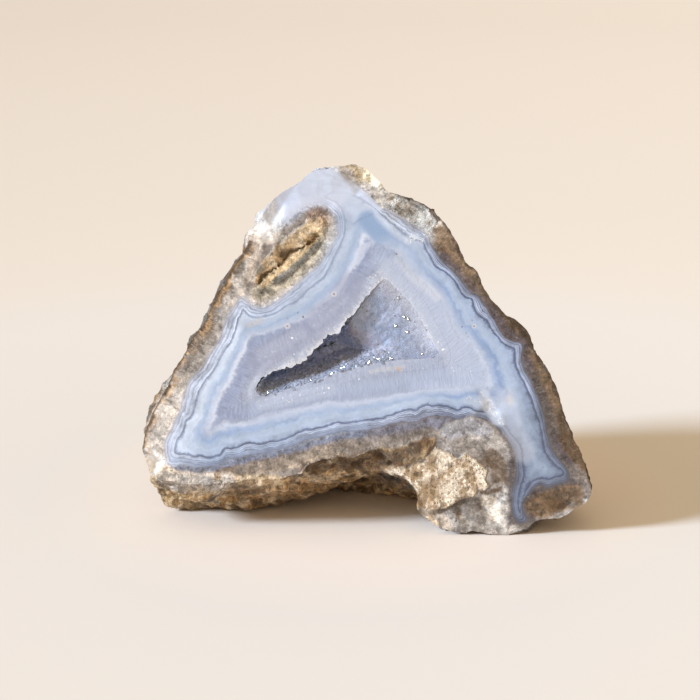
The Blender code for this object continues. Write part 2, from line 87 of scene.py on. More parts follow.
def on_face(places):
    """Places in the part, in metres, as right, up and depth in millimetres."""
    return (places - FACE_MIDDLE) @ FACE_AXES.T / MM


def in_part(face_places):
    """The reverse: right, up and depth in millimetres to places in the part."""
    return face_places @ FACE_AXES * MM + FACE_MIDDLE


def traced(points):
    """Picture points as right and up in millimetres."""
    points = np.array(points, float)
    return np.stack((points[:, 0] - PICTURE_MIDDLE, PICTURE_MIDDLE - points[:, 1]), 1) / PICTURE_POINTS_PER_MM


def as_seen(face_places):
    """Right and up as the camera sees them: what lies deeper looks a little nearer the middle."""
    return face_places[:, :2] * (CAMERA_DISTANCE / (CAMERA_DISTANCE + face_places[:, 2:3]))


def tone(red, green, blue):
    """A colour as a picture shows it, 0 to 255, as the linear colour that a material needs."""
    shown = np.array((red, green, blue)) / 255.0
    return np.where(shown <= 0.04045, shown / 12.92, ((shown + 0.055) / 1.055) ** 2.4)


def soft_step(value):
    value = np.clip(value, 0.0, 1.0)
    return value * value * (3.0 - 2.0 * value)


print("the face's middle is at", FACE_MIDDLE, "and leans back", round(math.degrees(FACE_LEAN)), "degrees")

# %% [markdown]
# ## Camera
# The picture was taken square to the sawn face, from 40 cm. A long lens keeps the stone free of distortion.
# %% Camera
SENSOR = 36.0
VIEW_WIDTH = 140.0
camera_data = bpy.data.cameras.new("camera")
camera_data.sensor_width = SENSOR
camera_data.lens = SENSOR * CAMERA_DISTANCE / VIEW_WIDTH
camera_data.clip_start = 0.01
camera = bpy.data.objects.new("camera", camera_data)
bpy.context.scene.collection.objects.link(camera)
turn = Matrix(np.stack((RIGHT, UP, -INTO), 1)).to_4x4()
camera.matrix_world = Matrix.Translation(Vector(FACE_MIDDLE - INTO * CAMERA_DISTANCE * MM)) @ turn
bpy.context.scene.camera = camera
print("lens", round(camera_data.lens, 1), "mm")

# %% [markdown]
# ## Light and floor
# A window low on the left, a little in front, throws a soft shadow to the right and darkens the left half of
# the hollow. The cream floor and wall of the room fill the shadows with a warm light. A sun lamp with a wide
# disc stands for the window, because its light comes from one side over the whole stone, and an even sky
# stands for the room. The floor is one big disc. Painted light is in its colour: lighter and warmer next to
# the stone, and slightly darker far away as the light falls off; it is also a little darker towards the left.
# %% Light and floor
WINDOW_FROM = Vector((-0.93, -0.25, 0.44))
WINDOW_STRENGTH = 4.75
WINDOW_COLOUR = (0.86, 0.985, 1.09)
WINDOW_WIDTH = math.radians(14)
ROOM_COLOUR = (0.80, 0.60, 0.375)
FLOOR_RADIUS = 3.0


def only(piece):
    """Selects one object alone and makes it the active one, in object mode."""
    if bpy.context.object and bpy.context.object.mode != "OBJECT":
        bpy.ops.object.mode_set(mode="OBJECT")
    bpy.ops.object.select_all(action="DESELECT")
    piece.select_set(True)
    bpy.context.view_layer.objects.active = piece


def node(tree, kind, inputs=(), **settings):
    """Adds a shader node with its settings and the values of its inputs."""
    made = tree.nodes.new("ShaderNode" + kind)
    for name, value in settings.items():
        setattr(made, name, value)
    for name, value in dict(inputs).items():
        made.inputs[name].default_value = value
    return made


def set_ramp(ramp, stops):
    """Gives a colour ramp its stops: a place from 0 to 1 and a linear colour each."""
    elements = ramp.color_ramp.elements
    while len(elements) > 1:
        elements.remove(elements[-1])
    elements[0].position = stops[0][0]
    elements[0].color = (*stops[0][1], 1.0)
    for place, colour in stops[1:]:
        elements.new(place).color = (*colour, 1.0)


window = bpy.data.lights.new("window", "SUN")
window.energy = WINDOW_STRENGTH
window.color = WINDOW_COLOUR
window.angle = WINDOW_WIDTH
window_object = bpy.data.objects.new("window", window)
window_object.rotation_euler = WINDOW_FROM.to_track_quat("Z", "Y").to_euler()
bpy.context.scene.collection.objects.link(window_object)

world = bpy.data.worlds.new("room")
world.use_nodes = True
world.node_tree.nodes["Background"].inputs["Color"].default_value = (*ROOM_COLOUR, 1.0)
bpy.context.scene.world = world
bpy.context.scene.view_settings.view_transform = "Standard"

bpy.ops.object.select_all(action="DESELECT")
bpy.ops.mesh.primitive_circle_add(vertices=128, radius=FLOOR_RADIUS, fill_type="NGON", location=(0, 0, -0.0001))
floor = bpy.context.object
floor.name = "floor"
only(floor)
bpy.ops.object.transform_apply(location=True)
paper = bpy.data.materials.new("cream paper")
paper.use_nodes = True
tree = paper.node_tree
shader = tree.nodes["Principled BSDF"]
shader.inputs["Roughness"].default_value = 0.8
shader.inputs["Specular IOR Level"].default_value = 0.2
place = node(tree, "TexCoord")
far = node(tree, "VectorMath", operation="LENGTH")
ramp = node(tree, "ValToRGB")
# Painted light: the floor is lighter and warmer within about 4 cm of the stone, and darker far away.
set_ramp(ramp, [
    (0.0, (0.79, 0.735, 0.72)),
    (0.042, (0.78, 0.73, 0.72)),
    (0.07, (0.69, 0.69, 0.72)),
    (0.16, (0.70, 0.70, 0.73)),
    (0.23, (0.70, 0.68, 0.68)),
    (0.32, (0.69, 0.665, 0.657)),
    (1.0, (0.65, 0.614, 0.594)),
])
tree.links.new(place.outputs["Object"], far.inputs[0])
tree.links.new(far.outputs["Value"], ramp.inputs["Fac"])
across = node(tree, "SeparateXYZ")
# The colour is also scaled from 0.90 on the left to 1.03 on the right.
to_right = node(tree, "MapRange")
for name, value in (("From Min", -0.35), ("From Max", 0.35), ("To Min", 0.90), ("To Max", 1.03)):
    to_right.inputs[name].default_value = value
paper_with_painted_light = node(tree, "VectorMath", operation="SCALE")
tree.links.new(place.outputs["Object"], across.inputs[0])
tree.links.new(across.outputs["X"], to_right.inputs["Value"])
tree.links.new(ramp.outputs["Color"], paper_with_painted_light.inputs[0])
tree.links.new(to_right.outputs["Result"], paper_with_painted_light.inputs["Scale"])
tree.links.new(paper_with_painted_light.outputs["Vector"], shader.inputs["Base Color"])
floor.data.materials.append(paper)
print("floor", 2 * FLOOR_RADIUS, "m across")

# %% [markdown]
# ## Outlines of the lace
# Four closed lines carry the whole drawing, from outside in: where the brown rind ends and the lace starts,
# the dark line, where the lace turns to clear crystal, and the mouth of the hollow. Every finer band lies
# between two of them at a fixed share of the way, as real bands do, because each layer grew on the last.
# At the top left the rind is missing, so the first line runs outside the stone there.
# %% Outlines of the lace
RIND_LINE = traced([
    (240, 296), (238, 298), (234, 305), (230, 311), (226, 316), (224, 322), (221, 333), (218, 340),
    (214, 347), (210, 353), (203, 365), (193, 375), (189, 380), (186, 385), (184, 391), (182, 397),
    (181, 403), (180, 409), (174, 420), (172, 426), (169, 432), (166, 437), (164, 442), (164, 450),
    (165, 457), (167, 463), (172, 466), (180, 465), (188, 466), (193, 468), (200, 468), (213, 467),
    (220, 465), (225, 462), (230, 459), (240, 458), (252, 455), (264, 454), (270, 452), (277, 450),
    (283, 449), (290, 447), (296, 446), (300, 443), (308, 440), (318, 438), (325, 436), (332, 435),
    (338, 433), (345, 432), (352, 432), (360, 431), (375, 430), (382, 428), (388, 426), (395, 424),
    (402, 423), (409, 423), (415, 423.5), (420, 421), (426, 418), (433, 417), (441, 417), (449, 418),
    (455, 420), (462, 420), (467, 418), (471, 416), (478, 418), (485, 420), (490, 422), (495, 426),
    (500, 432), (505, 437), (509, 443), (512, 449), (514, 455), (515, 462), (515.5, 470), (514, 478),
    (512, 485), (511, 492), (511, 508), (512, 515), (514, 521), (519, 525), (525, 524), (529, 519),
    (524, 512), (521, 505), (524, 499), (529, 495), (533, 491), (536, 488), (541, 486), (546, 489),
    (551, 488), (557, 485), (563, 484), (568, 482), (570, 478), (569, 472), (566, 466), (561, 460),
    (557, 455), (553, 449), (551, 443), (549, 437), (547, 430), (546, 423), (545, 415), (543, 408),
    (540, 402), (538, 396), (535, 390), (530, 378), (526, 372), (524, 366), (523, 360), (523, 353),
    (524, 347), (521, 342), (515, 341), (508, 339), (504, 336), (501, 331), (495, 320), (491, 314),
    (488, 308), (481, 298), (476, 294), (471, 292), (467, 287), (463, 282), (458, 276), (452, 270),
    (446, 264), (441, 259), (437, 253), (433, 247), (430, 240), (427, 233), (420, 229), (414, 227),
    (410, 222), (398, 214), (392, 211), (388, 208), (382, 208), (378, 204), (371, 197), (361, 188),
    (351, 180), (342, 174), (331, 166), (322, 150), (280, 165), (248, 196), (256, 212), (266, 220),
    (274, 226), (284, 223), (292, 218), (300, 212), (308, 207), (318, 204), (325, 206), (331, 211),
    (336, 216), (338, 223), (338, 231), (337, 238), (332, 243), (329, 249), (325, 255), (321, 262),
    (316, 268), (309, 272), (303, 278), (296, 284), (289, 290), (283, 296), (277, 300), (270, 305),
    (262, 308), (252, 305), (245, 299),
])
DARK_LINE = traced([
    (243, 309), (242, 312), (240, 316), (238, 320), (237, 326), (235, 333), (232, 340), (229, 345),
    (225, 350), (222, 355), (219, 361), (217, 366), (213, 371), (210, 376), (206, 380), (203, 385),
    (200, 390), (198, 396), (196, 402), (194.5, 408), (193, 413), (190, 418), (186, 420), (185, 425),
    (183, 431), (180, 436), (177, 440), (176, 445), (175, 450), (176, 453), (182, 454), (190, 455),
    (195, 456.5), (200, 455), (205, 457), (210, 458), (215, 456), (220, 455), (222, 451), (226, 448),
    (232, 448), (238, 447), (243, 444), (248, 442.5), (254, 443), (260, 444.5), (266, 443), (271, 441),
    (276, 441.5), (281, 440), (287, 438), (293, 435.5), (298, 432.5), (303, 430), (307, 429), (311, 430),
    (316, 428), (322, 427.5), (327, 425.5), (332, 423.5), (338, 422), (344, 423.5), (350, 422.5),
    (356, 421.5), (362, 420.5), (369, 419.5), (376, 419), (382, 418), (387, 416), (393, 414.5), (399, 412),
    (404, 410.5), (410, 409.5), (413, 410), (416, 411.5), (418, 409), (422, 406.5), (427, 404.5),
    (431, 406), (437, 405.5), (443, 405.5), (450, 407), (455, 409), (458, 410), (461, 407.5), (465, 406.5),
    (470, 407.5), (474, 410), (478, 411.5), (486, 412), (490, 416), (500, 421), (510, 433), (513, 437),
    (517, 441), (520, 446), (522, 452), (522.5, 460), (523, 467), (524, 474), (523, 480), (521, 486),
    (519, 492), (518, 500), (518, 508), (520, 513), (522, 508), (523, 500), (526, 492), (529, 487),
    (532, 482), (537, 479), (543, 478), (549, 479), (555, 477), (561, 476), (564, 473), (561, 469),
    (556, 465), (552, 461), (548, 456), (545, 450), (543, 443), (542, 436), (541, 428), (539, 421),
    (536, 414), (534, 407), (532, 400), (526, 387), (519, 373), (516, 366), (515, 360), (515, 353),
    (514, 348), (508, 346), (503, 343), (500, 339), (496, 335), (493, 331), (490, 327), (488, 321),
    (479, 315), (475, 311), (473, 305), (472, 299), (467, 298), (462, 294), (459, 289), (457, 284),
    (453, 279), (449, 275), (444, 271), (439, 269), (435, 266), (432, 261), (430, 256), (427, 251),
    (425, 246), (423, 242), (417, 240), (410, 237), (401, 231), (393, 225), (386, 219), (380, 213),
    (374, 207), (366, 201), (358, 197), (350, 194), (340, 193), (330, 194), (325, 197), (332, 200),
    (337, 203), (342, 210), (344, 217), (345, 225), (344, 233), (342, 241), (339, 248), (335, 255),
    (332, 262), (328, 270), (324, 277), (319, 281), (309, 289), (300, 298), (297, 301), (293, 303.5),
    (288, 305), (284, 308), (280, 311), (275, 313), (270, 315), (264, 316.5), (258, 317.5), (253, 317),
    (248, 315),
])
CRYSTAL_LINE = traced([
    (253, 338), (250, 341), (249, 345), (247, 352), (243, 360), (240, 368), (237, 376), (233, 383),
    (229, 389), (225, 394), (222, 400), (219, 407), (217, 414), (215, 420), (212, 426), (209.5, 431),
    (214, 428), (219, 425), (224, 421), (230, 419), (246, 420), (254, 418), (262, 414), (270, 411),
    (290, 408), (310, 402), (330, 400), (350, 399), (370, 397), (390, 394), (410, 391), (430, 389),
    (450, 388), (470, 386), (480, 382), (487, 383), (484, 372), (480, 362), (476, 352), (470, 344),
    (462, 336), (455, 327), (450, 318), (445, 309), (440, 300), (434, 292), (425, 284), (415, 275),
    (406, 266), (400, 258), (393, 252), (385, 247), (376, 243), (368, 240), (366, 246), (363, 254),
    (361, 260), (359, 266), (354, 271), (350, 278), (346, 284), (342, 290), (337, 296), (331, 301),
    (325, 305), (321, 311), (315, 315), (308, 319), (300, 323), (290, 327), (280, 330), (268, 334),
    (257, 337),
])
# The mouth of the hollow and of the socket behind its crust, in millimetres, are those of the solids.
MOUTH = np.array([
    (-18.8, -8.0), (-17.6, -6.0), (-15.6, -4.4), (-12.8, -3.7), (-10.4, -2.8), (-8.6, -1.7),
    (-7.4, -0.3), (-6.0, 1.3), (-4.4, 3.1), (-2.2, 3.5), (-1.0, 5.6), (0.4, 6.9),
    (1.8, 8.8), (3.6, 10.9), (5.6, 13.2), (7.2, 14.2), (9.4, 12.2), (12.6, 9.0),
    (14.8, 5.2), (16.6, 1.6), (17.8, -1.2), (15.0, -1.7), (10.4, -2.0), (4.0, -2.8),
    (-0.6, -3.9), (-4.4, -5.4), (-7.6, -6.4), (-11.0, -7.4), (-14.4, -8.5), (-17.6, -9.0),
])
SOCKET_MOUTH = np.array([
    (-20.6, -8.4), (-18.8, -5.0), (-16.0, -3.0), (-11.2, -1.3), (-7.8, 1.8), (-4.6, 5.0),
    (-0.8, 8.4), (3.0, 12.9), (6.6, 16.0), (9.6, 14.8), (13.8, 10.4), (16.6, 5.4),
    (19.4, -0.2), (18.8, -2.8), (14.6, -3.4), (9.0, -3.9), (3.0, -4.6), (-3.2, -6.8),
    (-9.6, -8.8), (-14.6, -10.3), (-18.6, -10.8),
])
# Edge of the sawn face, from the lower left corner over the tip, round the foot and along the matrix.
FACE_EDGE = np.array([
    (-41.4, -19.0), (-40.6, -15.4), (-39.5, -12.6), (-38.0, -10.0), (-36.4, -6.8), (-35.0, -4.0),
    (-33.1, -0.8), (-31.3, 2.6), (-29.5, 4.8), (-28.1, 7.6), (-27.1, 10.0), (-24.8, 14.1),
    (-22.3, 18.0), (-20.5, 21.0), (-19.8, 23.6), (-18.1, 26.0), (-15.9, 29.4), (-13.6, 31.4),
    (-10.0, 33.6), (-7.0, 35.7), (-4.0, 36.4), (-1.0, 36.8), (0.8, 37.2), (3.5, 36.0),
    (6.0, 33.5), (7.3, 31.7), (10.1, 31.0), (13.0, 30.0), (16.0, 28.4), (18.0, 26.4),
    (20.2, 23.6), (21.6, 20.8), (23.0, 17.8), (25.4, 15.6), (27.1, 12.0), (29.0, 9.3),
    (31.8, 6.7), (34.6, 4.3), (36.3, 0.8), (38.3, -2.2), (40.0, -4.8), (42.0, -10.0),
    (43.3, -14.6), (44.6, -17.6), (46.1, -20.4), (47.4, -24.8), (48.3, -28.6), (47.2, -30.6),
    (44.6, -32.2), (41.2, -33.5), (37.0, -34.2), (35.4, -35.6), (32.6, -36.6), (30.2, -37.2),
    (25.0, -36.2), (22.6, -36.6), (18.8, -35.7), (15.6, -33.9), (14.0, -32.3), (13.6, -29.2),
    (12.4, -26.6), (10.0, -25.0), (8.2, -22.0), (5.6, -19.8), (0.6, -21.4), (-3.0, -21.4),
    (-7.6, -22.8), (-10.0, -24.6), (-14.0, -25.6), (-19.0, -25.8), (-25.0, -26.6), (-31.0, -26.8),
    (-35.6, -26.2), (-39.0, -25.2), (-40.7, -23.0),
])


def smooth_line(corners, steps):
    """Points on the smooth closed curve through the corners, some steps to each corner."""
    places = []
    count = len(corners)
    for k in range(count):
        a, b, c, d = (corners[(k + shift) % count] for shift in (-1, 0, 1, 2))
        for step in range(steps):
            f = step / steps
            cube = (3 * b - a - 3 * c + d) * f ** 3
            places.append(0.5 * (2 * b + (c - a) * f + (2 * a - 5 * b + 4 * c - d) * f ** 2 + cube))
    return np.array(places)


def measure(points, line, closed=True):
    """Distance from each point to the line, how far along the line its nearest place is, and whether it is inside."""
    starts = line if closed else line[:-1]
    ends = np.roll(line, -1, axis=0) if closed else line[1:]
    nearest = np.full(len(points), np.inf)
    along = np.zeros(len(points))
    within = np.zeros(len(points), bool)
    run = 0.0
    for a, b in zip(starts, ends):
        side = b - a
        length = np.hypot(*side)
        share = np.clip((points - a) @ side / length ** 2, 0.0, 1.0)
        away = np.hypot(*(points - a - share[:, None] * side).T)
        closer = away < nearest
        nearest[closer] = away[closer]
        along[closer] = run + share[closer] * length
        run += length
        crossing = (a[1] > points[:, 1]) != (b[1] > points[:, 1])
        if crossing.any():
            height = (points[crossing, 1] - a[1]) / (b[1] - a[1])
            left = points[crossing, 0] < a[0] + height * side[0]
            within[np.flatnonzero(crossing)[left]] ^= True
    return nearest, along, within


print(len(RIND_LINE), len(DARK_LINE), len(CRYSTAL_LINE), "traced corners")

# %% [markdown]
# ## The stone's fine mesh
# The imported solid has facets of 2 to 3 mm. A merged copy of it is subdivided, the skin is smoothed while
# the sawn face stays flat, and the edge of the face is drawn onto its smooth outline with small nicks.
# A copy keeps the size exactly, which a new model would not. The edge is marked as a seam first, so that
# the sawn face can be selected as everything inside the seam.
# %% Copy and merge the stone
MERGE = 1e-6


def selection(piece, kind, chosen):
    """Enters edit mode with the chosen parts selected. kind is VERT, EDGE or FACE."""
    only(piece)
    bpy.ops.object.mode_set(mode="EDIT")
    bpy.ops.mesh.select_mode(type=kind)
    bpy.ops.mesh.select_all(action="DESELECT")
    bpy.ops.object.mode_set(mode="OBJECT")
    elements = {"VERT": piece.data.vertices, "EDGE": piece.data.edges, "FACE": piece.data.polygons}[kind]
    elements.foreach_set("select", np.asarray(chosen, bool))
    bpy.ops.object.mode_set(mode="EDIT")


def merged_copy(solid, name):
    piece = bpy.data.objects.new(name, frame["nodes"][solid].data.copy())
    bpy.context.scene.collection.objects.link(piece)
    piece.data.materials.clear()
    only(piece)
    bpy.ops.object.mode_set(mode="EDIT")
    bpy.ops.mesh.select_all(action="SELECT")
    bpy.ops.mesh.remove_doubles(threshold=MERGE)
    bpy.ops.mesh.customdata_custom_splitnormals_clear()
    bpy.ops.object.mode_set(mode="OBJECT")
    return piece


def places_of(piece):
    flat = np.empty(len(piece.data.vertices) * 3, np.float32)
    piece.data.vertices.foreach_get("co", flat)
    return flat.reshape(-1, 3).astype(float)


def place_all(piece, places):
    piece.data.vertices.foreach_set("co", places.astype(np.float32).ravel())
    piece.data.update()


def face_values(piece, name, width):
    flat = np.empty(len(piece.data.polygons) * width, np.float32)
    piece.data.polygons.foreach_get(name, flat)
    return flat.reshape(-1, width) if width > 1 else flat


stone = merged_copy("agate_stone", "blue_lace_agate")
print("stone:", len(stone.data.vertices), "vertices")

# %% Mark the edge of the sawn face
ON_PLANE = 0.004
NEAR_FLOOR = 0.07
EDGE_STEPS = 12
edge_curve = smooth_line(FACE_EDGE, EDGE_STEPS)
spots = on_face(places_of(stone))
on_floor = places_of(stone)[:, 2] < MERGE
on_plane = np.abs(spots[:, 2]) < np.where(on_floor, NEAR_FLOOR, ON_PLANE)
away, along, _ = measure(spots[:, :2], edge_curve)
rim_order = np.flatnonzero(on_plane & (away < np.where(on_floor, 0.4, 0.05)))
rim_order = rim_order[np.argsort(along[rim_order])]
follows = {a: b for a, b in zip(rim_order, np.roll(rim_order, -1))}
seams = 0
for edge in stone.data.edges:
    a, b = edge.vertices
    if follows.get(a) == b or follows.get(b) == a:
        edge.use_seam = True
        seams += 1
print("edge of the face:", len(rim_order), "vertices,", seams, "seam edges")

# %% Subdivide
FIRST_CUTS = 3
FINE_DEPTH = 13.0
selection(stone, "FACE", np.ones(len(stone.data.polygons), bool))
bpy.ops.mesh.subdivide(number_cuts=FIRST_CUTS)
bpy.ops.object.mode_set(mode="OBJECT")
middles = on_face(face_values(stone, "center", 3))
facing = -face_values(stone, "normal", 3) @ INTO
in_socket = measure(middles[:, :2], smooth_line(SOCKET_MOUTH, 3))[2]
fine = (facing > 0.2) & (middles[:, 2] < FINE_DEPTH) & ~in_socket
selection(stone, "FACE", fine)
bpy.ops.mesh.subdivide(number_cuts=1)
bpy.ops.mesh.select_all(action="SELECT")
bpy.ops.mesh.quads_convert_to_tris()
bpy.ops.object.mode_set(mode="OBJECT")
print("subdivided:", len(stone.data.polygons), "triangles")

# %% Find the sawn face again, and even out its triangles
LONGEST_EDGES = (0.9, 0.58)


def sawn_face():
    """Which triangles and vertices make the sawn face, and which vertices lie on its edge."""
    on_edge = np.zeros(len(stone.data.vertices), bool)
    for edge in stone.data.edges:
        if edge.use_seam:
            on_edge[list(edge.vertices)] = True
    middles = on_face(face_values(stone, "center", 3))
    facing = -face_values(stone, "normal", 3) @ INTO
    seed = np.argmin(np.hypot(middles[:, 0] + 30.0, middles[:, 1] + 15.0) + 100.0 * np.abs(middles[:, 2]))
    selection(stone, "FACE", np.arange(len(middles)) == seed)
    bpy.ops.mesh.select_linked(delimit={"SEAM"})
    bpy.ops.object.mode_set(mode="OBJECT")
    chosen = face_values(stone, "select", 1).astype(bool) & (middles[:, 2] < 2.6) & (facing > 0.25)
    corners = np.empty(len(stone.data.polygons) * 3, np.int32)
    stone.data.polygons.foreach_get("vertices", corners)
    inside = np.zeros(len(stone.data.vertices), bool)
    inside[corners.reshape(-1, 3)[chosen].ravel()] = True
    return chosen, inside, on_edge


for longest in LONGEST_EDGES:
    sheet_faces, sheet, rim = sawn_face()
    selection(stone, "FACE", sheet_faces)
    bpy.ops.mesh.beautify_fill(angle_limit=math.radians(20))
    bpy.ops.object.mode_set(mode="OBJECT")
    places = places_of(stone)
    ends = np.empty(len(stone.data.edges) * 2, np.int32)
    stone.data.edges.foreach_get("vertices", ends)
    ends = ends.reshape(-1, 2)
    lengths = np.linalg.norm(places[ends[:, 0]] - places[ends[:, 1]], axis=1) / MM
    selection(stone, "EDGE", (lengths > longest) & sheet[ends].all(1))
    bpy.ops.mesh.subdivide(number_cuts=1)
    bpy.ops.mesh.select_all(action="SELECT")
    bpy.ops.mesh.quads_convert_to_tris()
    bpy.ops.object.mode_set(mode="OBJECT")
sheet_faces, sheet, rim = sawn_face()
selection(stone, "FACE", sheet_faces)
bpy.ops.mesh.beautify_fill(angle_limit=math.radians(20))
bpy.ops.object.mode_set(mode="OBJECT")
print("sawn face:", sheet_faces.sum(), "of", len(sheet_faces), "triangles;", rim.sum(), "vertices on its edge")

# %% Smooth the skin and the edge
NICK_SIZE = 2.2
NICK_DEPTH = 0.32
EDGE_REACH = 2.2
selection(stone, "VERT", ~sheet)
bpy.ops.mesh.vertices_smooth(factor=0.5, repeat=5)
bpy.ops.object.mode_set(mode="OBJECT")
spots = on_face(places_of(stone))
selection(stone, "VERT", sheet & ~rim & (spots[:, 2] > 0.05))
bpy.ops.mesh.vertices_smooth(factor=0.5, repeat=3)
bpy.ops.object.mode_set(mode="OBJECT")

spots = on_face(places_of(stone))
rim_index = np.flatnonzero(rim)
_, along, _ = measure(spots[rim_index, :2], edge_curve)
lengths = np.hypot(*(np.roll(edge_curve, -1, axis=0) - edge_curve).T)
runs = np.concatenate(((0.0,), np.cumsum(lengths)))
closed_curve = np.vstack((edge_curve, edge_curve[:1]))
targets = np.stack([np.interp(along, runs, closed_curve[:, k]) for k in (0, 1)], 1)
for k, place in enumerate(targets):
    nick = noise.noise_vector(Vector((*place, 0.0)) / NICK_SIZE) + 0.5 * noise.noise_vector(Vector((*place, 9.0)) / 0.9)
    targets[k] = place + NICK_DEPTH * np.array(nick[:2])
shifts = targets - spots[rim_index, :2]
tree_of_rim = KDTree(len(rim_index))
for k, spot in enumerate(spots[rim_index]):
    tree_of_rim.insert(spot, k)
tree_of_rim.balance()
for k, spot in enumerate(spots):
    if spot[2] < 4.0:
        _, near, distance = tree_of_rim.find(spot)
        if distance < EDGE_REACH:
            spots[k, :2] += shifts[near] * float(soft_step(1.0 - distance / EDGE_REACH))
place_all(stone, in_part(spots))
print("edge moved by up to", round(float(np.hypot(*shifts.T).max()), 2), "mm")

# %% [markdown]
# ## Where the stone is broken and rough
# Zones are traced on the picture as the camera sees them, with edges that waver as breaks in rock do. Each
# vertex then knows how much it belongs to every zone. The same zones steer the relief and the colours, so
# pits, grain and paint always agree.
# %% Zones of the stone
CREAM_MATRIX = traced([
    (410, 466), (425, 459), (436, 447), (444, 450), (450, 453), (456, 457), (466, 453), (474, 457),
    (482, 464), (488, 469), (487, 478), (491, 486), (486, 491), (479, 490), (472, 499), (458, 500),
    (447, 510), (432, 512), (422, 508), (418, 496), (412, 487), (404, 478), (388, 475), (376, 468), (392, 468),
])
GOLDEN_MATRIX = traced([
    (150, 470), (165, 471), (185, 474), (215, 476), (240, 478), (262, 473), (270, 477), (288, 476), (300, 474),
    (305, 466), (312, 463), (327, 459), (341, 453), (353, 458), (365, 452), (378, 447), (397, 446), (420, 438),
    (436, 434), (436, 447), (425, 459), (410, 466), (385, 470), (372, 480), (420, 490), (425, 520), (150, 525),
])
INCLUSION = traced([
    (252, 283), (256, 270), (262, 260), (270, 251), (280, 242), (288, 235), (296, 229), (304, 222), (313, 216),
    (322, 217), (328, 226), (326, 238), (320, 247), (308, 262), (296, 272), (284, 281), (270, 287), (258, 288),
])
MOSSY_BREAK = traced([
    (383, 199), (395, 195), (404, 197), (418, 203), (430, 211), (438, 221), (432, 233), (420, 229), (408, 221),
    (396, 213), (386, 208),
])
BROKEN_TIP = traced([
    (331, 164), (345, 160), (358, 161), (369, 168), (381, 181), (388, 192), (398, 195), (392, 204), (378, 203),
    (371, 197), (361, 188), (351, 180), (342, 174),
])
GREY_LOBE = traced([
    (446, 430), (458, 424), (470, 419), (484, 423), (497, 434), (506, 446), (510, 460), (510, 475), (507, 490),
    (507, 508), (510, 528), (490, 533), (452, 533), (440, 520), (455, 503), (472, 500), (486, 492), (492, 484),
    (489, 468), (474, 456), (456, 456), (444, 449),
])
WAVER_SIZE = 1.7
WAVER = 0.42


def waver(places, size=WAVER_SIZE, amount=WAVER):
    """Small sideways shifts, the same at the same place, which make traced edges ragged."""
    moves = np.empty((len(places), 2))
    for k, place in enumerate(places):
        coarse = noise.noise_vector(Vector(place) / size)
        fine = noise.noise_vector(Vector(place) / (0.3 * size) + Vector((5.0, 1.0, 8.0)))
        moves[k] = (coarse.x + 0.45 * fine.x, coarse.y + 0.45 * fine.y)
    return moves * amount


def zone(points, outline, soft):
    """1 well inside the outline, 0 outside, with a soft edge of the given width on its inner side."""
    away, _, within = measure(points, outline)
    return np.where(within, soft_step(away / soft), 0.0)


def dot_strength(points, x, y, radius, soft):
    away = np.hypot(*(points - traced([(x, y)])[0]).T)
    return soft_step(1.0 - (away - radius) / soft)


def patches(places, size, seed, low, high):
    """Cloudy patches in space, from 0 below the low value of the noise to 1 above the high one."""
    shift = Vector((seed, 2.3 * seed, -1.7 * seed))
    values = np.array([noise.fractal(Vector(place) / size + shift, 0.9, 2.0, 3) for place in places])
    return soft_step((values - low) / (high - low))


spots = on_face(places_of(stone))
normals = np.empty(len(spots) * 3, np.float32)
stone.data.vertices.foreach_get("normal", normals)
facing = -normals.reshape(-1, 3) @ INTO
shaken = as_seen(spots) + waver(spots)
in_front = (facing > -0.15) & (spots[:, 2] < 26.0)
skin = ~sheet
rim_gap = np.array([tree_of_rim.find(spot)[2] for spot in spots])
skin_weight = np.where(skin, soft_step(rim_gap / 1.0), 0.0)
zones = {
    "cream": zone(shaken, CREAM_MATRIX, 0.5) * in_front,
    "golden": zone(shaken, GOLDEN_MATRIX, 0.8) * (in_front | (spots[:, 1] < -20.0)),
    "inclusion": zone(shaken, INCLUSION, 0.6) * sheet,
    "moss": zone(shaken, MOSSY_BREAK, 0.5) * in_front,
    "tip": zone(shaken, BROKEN_TIP, 0.6) * in_front,
    "lobe": zone(shaken, GREY_LOBE, 0.8) * in_front,
}
print({name: int((weights > 0.5).sum()) for name, weights in zones.items()})

# %% [markdown]
# ## Relief of the broken parts
# Each kind of break gets its own texture through a Displace modifier that only acts on its zone: ridged
# noise for bark and matrix, cells for the pits of the cream matrix, fine noise for grains. The modifiers are
# applied at once, so the relief is real geometry and shows in profile too.
# %% Relief of the broken parts
LEVELS = 12


def weigh(piece, name, weights):
    """Stores weights from 0 to 1 as a vertex group, in a few even levels."""
    group = piece.vertex_groups.new(name=name)
    steps = np.round(np.clip(weights, 0.0, 1.0) * LEVELS).astype(int)
    for step in range(1, LEVELS + 1):
        chosen = np.flatnonzero(steps == step)
        if len(chosen):
            group.add(chosen.tolist(), step / LEVELS, "REPLACE")
    return name


def rough_texture(name, kind, size, **settings):
    texture = bpy.data.textures.new(name, kind)
    texture.noise_scale = size * MM
    for key, value in settings.items():
        setattr(texture, key, value)
    return texture


def displace(piece, group, texture, height, middle=0.5):
    """Moves the group's vertices along their normals by the texture, and applies it."""
    modifier = piece.modifiers.new(texture.name, "DISPLACE")
    modifier.texture = texture
    modifier.texture_coords = "LOCAL"
    modifier.vertex_group = group
    modifier.strength = height * MM
    modifier.mid_level = middle
    only(piece)
    bpy.ops.object.modifier_apply(modifier=modifier.name)


